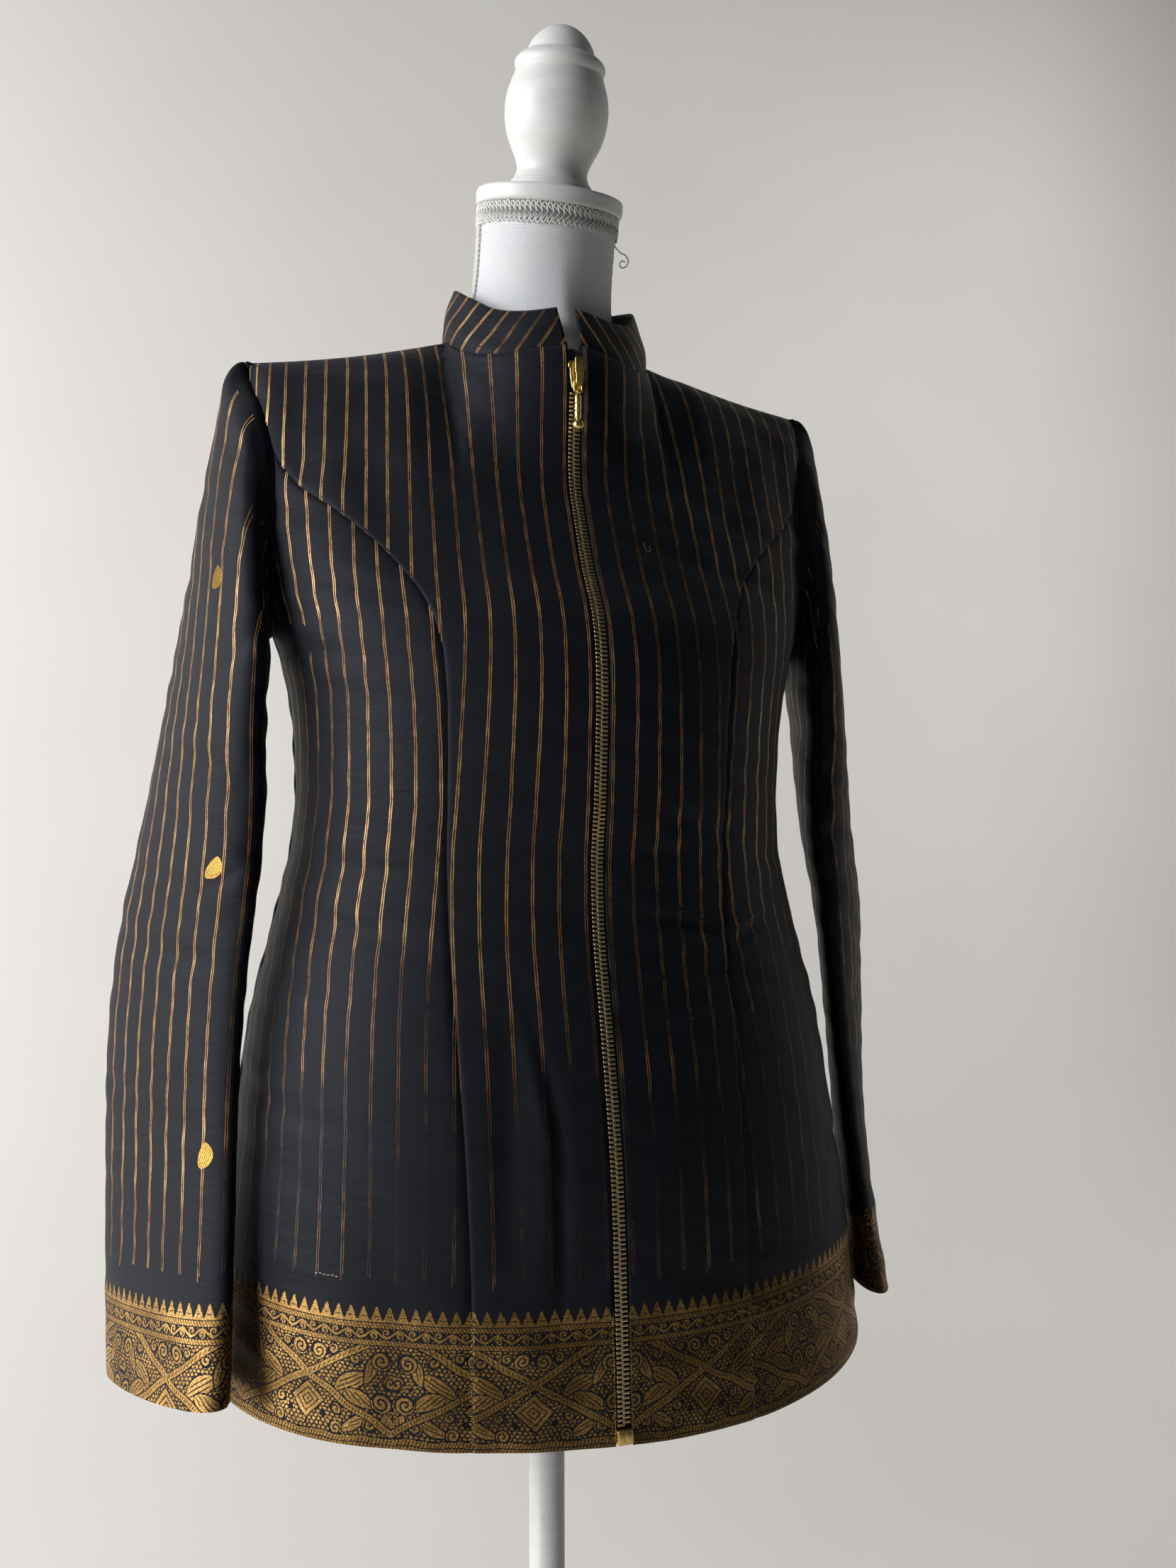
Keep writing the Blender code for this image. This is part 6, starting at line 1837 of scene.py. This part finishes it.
def makeSideBraid(side, mark):
    look = braidLook
    shares = np.linspace(0.285, float(neckShare(np.array(90.0), look["height"] + 0.0006)), 19)
    angle = np.full_like(shares, side * 90.0)
    points = neckPoint(angle, shares, 0.0008)
    along = unit(np.gradient(points, axis=0))
    outward = np.tile([side * 1.0, 0.0, 0.0], (len(points), 1))
    for half, sign in (("Front", 1), ("Rear", -1)):
        parts = braidLoop(sign * 0.0031, -0.0022, 0.0020, 0.00045)
        template = templateMesh("sideLoop", *parts)
        sizes = {"Scale": 1.0, "Jitter": 0.06, "Seed": 8 + sign}
        name = "sideBraid" + half + "_" + mark
        item = repeatOn(name, points, along, outward, template, gimp, "white_braid", sizes)
        if sign > 0:
            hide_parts("side_braid_" + mark)
        bpy.data.objects.remove(template)


makeNeckBraid()
makeSideBraid(-1, "right")
makeSideBraid(1, "left")
print("braids made")

# Zip: tape, teeth, slider, link, bar with its ball, and bottom box
zipLook = {
    "tapeHalf": 0.0130, "tapeInset": 0.0022, "pitch": 0.00238, "chainLow": 0.0098, "chainHigh": 0.5704,
    "top": 0.598, "sliderTop": 0.5885, "sliderLength": 0.0175,
}


def frontPoint(x, height, inset):
    reach = np.minimum(height, topHeight - 0.0001)
    across = acrossOfX(np.abs(x), np.minimum(reach, chestHeight))
    normal = bodyNormal(across, reach, "front")
    normal[..., 0] = 0.0
    normal = unit(normal)
    point = bodyPoint(across, reach, "front") - normal * inset
    return np.stack([x, point[..., 1], point[..., 2] + hemHeight + hemLift(x, height)], -1), normal


def makeZipTape():
    heights = np.linspace(0.001, zipLook["top"], 260)[:, None] + np.zeros((1, 13))
    x = np.linspace(-1, 1, 13)[None, :] * zipLook["tapeHalf"] + np.zeros((260, 1))
    points, _ = frontPoint(x, heights, zipLook["tapeInset"])
    item = gridObject("zipTape", points, tape, uv=np.stack([x, heights], -1))
    thicken(item, 0.0006)
    return finished(item, node="zip_tape")


def makeTeeth():
    heights = np.linspace(zipLook["chainLow"], zipLook["chainHigh"], 1200)
    line, _ = frontPoint(np.zeros_like(heights), heights, 0.0)
    length = np.concatenate([[0.0], np.cumsum(np.linalg.norm(np.diff(line, axis=0), axis=1))])
    points, along, outward = [], [], []
    for side in (-1, 1):
        first = 0.0006 + (0.5 * zipLook["pitch"] if side > 0 else 0.0)
        marks = np.arange(first, length[-1], zipLook["pitch"])
        where = np.interp(marks, length, heights)
        place, normal = frontPoint(np.full_like(where, side * 0.00005), where, 0.00055)
        points.append(place)
        outward.append(normal)
        along.append(np.tile([side * 1.0, 0.0, 0.0], (len(where), 1)))
    shape = bmesh.new()
    bmesh.ops.create_cube(shape, size=1.0)
    for vertex in shape.verts:
        outer = vertex.co.x > 0
        vertex.co = Vector((0.00330 if outer else -0.00060, vertex.co.y * (0.00150 if outer else 0.00105),
                            vertex.co.z * (0.0017 if outer else 0.0019)))
    bmesh.ops.bevel(shape, geom=list(shape.edges), offset=0.00026, segments=2, profile=0.6, affect="EDGES")
    mesh = bpy.data.meshes.new("tooth")
    shape.to_mesh(mesh)
    shape.free()
    template = bpy.data.objects.new("tooth", mesh)
    places = [np.concatenate(rows) for rows in (points, along, outward)]
    sizes = {"Scale": 1.0, "Jitter": 0.02, "Seed": 3}
    item = repeatOn("zipTeeth", *places, template, toothBrass, "brass", sizes)
    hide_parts("zip_chain")
    bpy.data.objects.remove(template)


def frontFrame(height):
    place, _ = frontPoint(np.array(0.0), np.array(height), 0.0)
    normal = bodyNormal(np.array(0.02), np.array(height), "front")
    lean = math.atan2(normal[2], -normal[1])
    return Matrix.Translation(Vector(place)) @ Matrix.Rotation(-lean, 4, "X")


sliderFrame = frontFrame(zipLook["sliderTop"] - zipLook["sliderLength"] / 2)
pivotLocal = Vector((0.0, -0.0040, -0.0045))


def brassPiece(name, shape, body, matrix, node=None, bevel=0.0):
    mesh = bpy.data.meshes.new(name)
    bmesh.ops.recalc_face_normals(shape, faces=shape.faces)
    shape.to_mesh(mesh)
    shape.free()
    mesh.transform(matrix)
    mesh.materials.append(brass)
    item = linked(name, mesh)
    if bevel:
        edges = item.modifiers.new("edges", "BEVEL")
        edges.width = bevel
        edges.segments = 3
        edges.limit_method = "ANGLE"
        edges.angle_limit = math.radians(35)
    item.data.shade_smooth()
    finished(item, body, node)


def rectangle(right, left, low, high):
    return [(right, low), (right, high), (left, high), (left, low)]


def extrudeOutline(shape, outline, front, back):
    # an upright outline pushed from front to back
    bottom = [shape.verts.new((x, front, z)) for x, z in outline]
    top = [shape.verts.new((x, back, z)) for x, z in outline]
    shape.faces.new(bottom)
    shape.faces.new(top[::-1])
    for index in range(len(outline)):
        after = (index + 1) % len(outline)
        shape.faces.new((bottom[index], bottom[after], top[after], top[index]))


def makeSlider():
    half = zipLook["sliderLength"] / 2
    right = [
        (0.0000, half - 0.0016), (0.0024, half - 0.0014), (0.0040, half - 0.0016), (0.0050, half - 0.0026),
        (0.0052, half - 0.0040), (0.0049, half - 0.0052), (0.0041, half - 0.0060), (0.0041, half - 0.0075),
        (0.0041, half - 0.0092), (0.0039, -0.0022), (0.0034, -0.0052),
        (0.0031, -half + 0.0010), (0.0024, -half),
    ]
    outline = right + [(-x, z) for x, z in right[::-1] if x > 0]
    shape = bmesh.new()
    extrudeOutline(shape, outline, -0.0022, -0.0006)
    brassPiece("zipSlider", shape, "root", sliderFrame, "zip_slider", 0.00045)
    # bridge that holds the link: a wide bar on two legs, open beneath
    front = pivotLocal.y - 0.0018
    foot = pivotLocal.z - 0.0022
    right = [
        (0.0015, 0.0088), (0.0021, 0.0082), (0.0021, 0.0004), (0.0015, -0.0012),
        (0.0015, foot + 0.0004), (0.0011, foot),
    ]
    shape = bmesh.new()
    extrudeOutline(shape, right + [(-x, z) for x, z in right[::-1]], front, front + 0.0011)
    extrudeOutline(shape, rectangle(0.0014, -0.0014, 0.0048, 0.0084), front + 0.0008, -0.0018)
    extrudeOutline(shape, rectangle(0.0010, -0.0010, foot, foot + 0.0012), front + 0.0008, -0.0018)
    brassPiece("zipBridge", shape, "root", sliderFrame, None, 0.00045)


def roundedLoop(halfX, low, high, radius, y, steps=4):
    path = []
    for cx, cz, start in ((halfX - radius, high - radius, 0), (-halfX + radius, high - radius, 90),
                          (-halfX + radius, low + radius, 180), (halfX - radius, low + radius, 270)):
        for step in range(steps + 1):
            turn = math.radians(start + 90.0 * step / steps)
            path.append((cx + radius * math.cos(turn), y, cz + radius * math.sin(turn)))
    return path


def makeLink():
    low = pivotLocal.z - 0.0062
    path = roundedLoop(0.0022, low, pivotLocal.z, 0.0005, pivotLocal.y)
    vertices, faces = tubeParts(path, 0.00048, sides=10, closed=True)
    shape = bmesh.new()
    made = [shape.verts.new(v) for v in vertices]
    for face in faces:
        shape.faces.new([made[i] for i in face])
    brassPiece("zipLink", shape, "pull_link", sliderFrame, "zip_link")


def makePullBar():
    eyeZ = pivotLocal.z - 0.0062
    y = pivotLocal.y
    shape = bmesh.new()
    rings = []
    for x, radius in ((-0.0009, 0.00082), (-0.0009, 0.0016), (0.0009, 0.0016), (0.0009, 0.00082)):
        rings.append([shape.verts.new((x, y + radius * math.cos(t), eyeZ + radius * math.sin(t)))
                      for t in np.arange(24) * 2 * math.pi / 24])
    for index in range(4):
        one, other = rings[index], rings[(index + 1) % 4]
        for step in range(24):
            after = (step + 1) % 24
            shape.faces.new((one[step], one[after], other[after], other[step]))
    # faceted bar with two grooves, then the ball: distance below the eye, half width
    rows = (
        (0.0013, 0.0010), (0.0019, 0.0017), (0.0024, 0.0019), (0.0064, 0.0019), (0.0067, 0.0016),
        (0.0070, 0.0019), (0.0106, 0.0019), (0.0109, 0.0016), (0.0112, 0.0019), (0.0150, 0.0018),
        (0.0156, 0.0014), (0.0160, 0.0014),
    )
    loops = []
    for down, half in rows:
        loops.append([shape.verts.new((half * math.cos(t) * 1.02, y + half * 0.80 * math.sin(t), eyeZ - down))
                      for t in (np.arange(8) + 0.5) * math.pi / 4])
    for one, other in zip(loops[:-1], loops[1:]):
        for step in range(8):
            after = (step + 1) % 8
            shape.faces.new((one[step], other[step], other[after], one[after]))
    shape.faces.new(loops[0])
    shape.faces.new(loops[-1][::-1])
    brassPiece("zipPullBar", shape, "pull_bar", sliderFrame, "zip_pull", 0.00016)
    shape = bmesh.new()
    bmesh.ops.create_uvsphere(shape, u_segments=40, v_segments=24, radius=0.0034)
    bmesh.ops.translate(shape, vec=Vector((0.0, y, eyeZ - 0.0013 - 0.0150 - 0.0026)), verts=shape.verts)
    brassPiece("zipPullBall", shape, "pull_bar", sliderFrame)


def makeBottomBox():
    shape = bmesh.new()
    outline = [
        (-0.0042, 0.0006), (-0.0036, 0.0), (0.0036, 0.0), (0.0042, 0.0006),
        (0.0042, 0.0069), (0.0036, 0.0075), (-0.0036, 0.0075), (-0.0042, 0.0069),
    ]
    extrudeOutline(shape, outline, -0.0022, 0.0016)
    boxFrame = frontFrame(0.001)
    brassPiece("zipBottomBox", shape, "root", boxFrame, "zip_bottom_box", 0.00040)
    shape = bmesh.new()
    extrudeOutline(shape, rectangle(0.0036, 0.0006, 0.0016, 0.0058), -0.0026, -0.0020)
    extrudeOutline(shape, rectangle(-0.0004, -0.0034, 0.0012, 0.0064), -0.0024, -0.0020)
    brassPiece("zipBoxFace", shape, "root", boxFrame, None, 0.00018)


zipTapeItem = makeZipTape()
makeTeeth()
makeSlider()
makeLink()
makePullBar()
makeBottomBox()
print("zip made")

# Plain pale studio: a floor that rises into a wall behind, a soft key from the left
studio = {
    "wallBehind": 1.55,
    "halfWidth": 4.5,
    "height": 4.2,
    "bend": 0.9,
    "keyPower": 70.0,
    "fillPower": 0.8,
    "topPower": 6.0,
    "wallPower": 16.0,
    "rightPower": 10.5,
    "worldLevel": 0.022,
}


def makeStudio():
    m = NodeMaker("studioPaper", (0.84, 0.82, 0.80), 0.95)
    vector, _ = m.coordinates()
    m.color(m.ramp(m.noise(vector, 1.4, 2.0), [(0.3, (0.84, 0.815, 0.785)), (0.7, (0.89, 0.87, 0.84))]))
    wall, bend = studio["wallBehind"], studio["bend"]
    profile = [(-3.0, 0.0), (0.0, 0.0)]
    quarter = np.linspace(0, math.pi / 2, 17)
    profile += [(wall - bend + bend * math.sin(a), bend - bend * math.cos(a)) for a in quarter]
    profile.append((wall, studio["height"]))
    half = studio["halfWidth"]
    points = np.array([[(x, y, z) for x in np.linspace(-half, half, 5)] for y, z in profile])
    item = gridObject("studio", points, m.material)


def areaLight(name, place, aim, size, power, colour):
    data = bpy.data.lights.new(name, "AREA")
    data.shape = "RECTANGLE"
    data.size, data.size_y = size
    data.energy = power
    data.color = colour
    light = linked(name, data)
    light.location = place
    light.rotation_euler = (Vector(aim) - Vector(place)).to_track_quat("-Z", "Y").to_euler()


def makeLights():
    power = {key: studio[key + "Power"] for key in ("key", "wall", "right")}
    areaLight("key", (-2.55, -0.60, 1.75), (0.0, 0.0, 1.10), (1.1, 1.7), power["key"], (0.975, 0.985, 1.0))
    areaLight("fill", (0.6, -2.6, 1.6), (0.0, 0.0, 1.1), (2.0, 2.0), studio["fillPower"], (0.95, 0.97, 1.0))
    areaLight("wall", (-1.9, 0.55, 1.5), (1.6, 1.55, 1.1), (0.9, 2.0), power["wall"], (1.0, 0.985, 0.96))
    rightAim = (1.15, 1.55, 1.45)
    areaLight("wallRight", (1.75, 0.35, 1.75), rightAim, (0.8, 2.6), power["right"], (1.0, 0.98, 0.95))
    areaLight("top", (-0.6, 0.3, 3.4), (0.0, 0.2, 1.0), (1.8, 1.8), studio["topPower"], (1.0, 0.99, 0.97))
    world = bpy.data.worlds.new("studio")
    world.use_nodes = True
    background = world.node_tree.nodes["Background"]
    background.inputs["Color"].default_value = (0.95, 0.96, 1.0, 1.0)
    background.inputs["Strength"].default_value = studio["worldLevel"]
    bpy.context.scene.world = world


makeStudio()
makeLights()
print("studio lit")

# flat width, flat length and flat area of each cut
for key, item in bodyItems.items():
    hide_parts(key)
    kind, _, mark = key.rpartition("_") if key != "collar" else ("collar", "", "")
    onIt = {"centre_front": ["pinstripes_", "hemBorder_"], "top_sleeve": ["cuffBorder_"]}.get(kind, [])
    onIt = [bpy.data.objects[name + mark] for name in onIt]
    if kind == "collar":
        onIt = [bpy.data.objects["collarStripes"]]
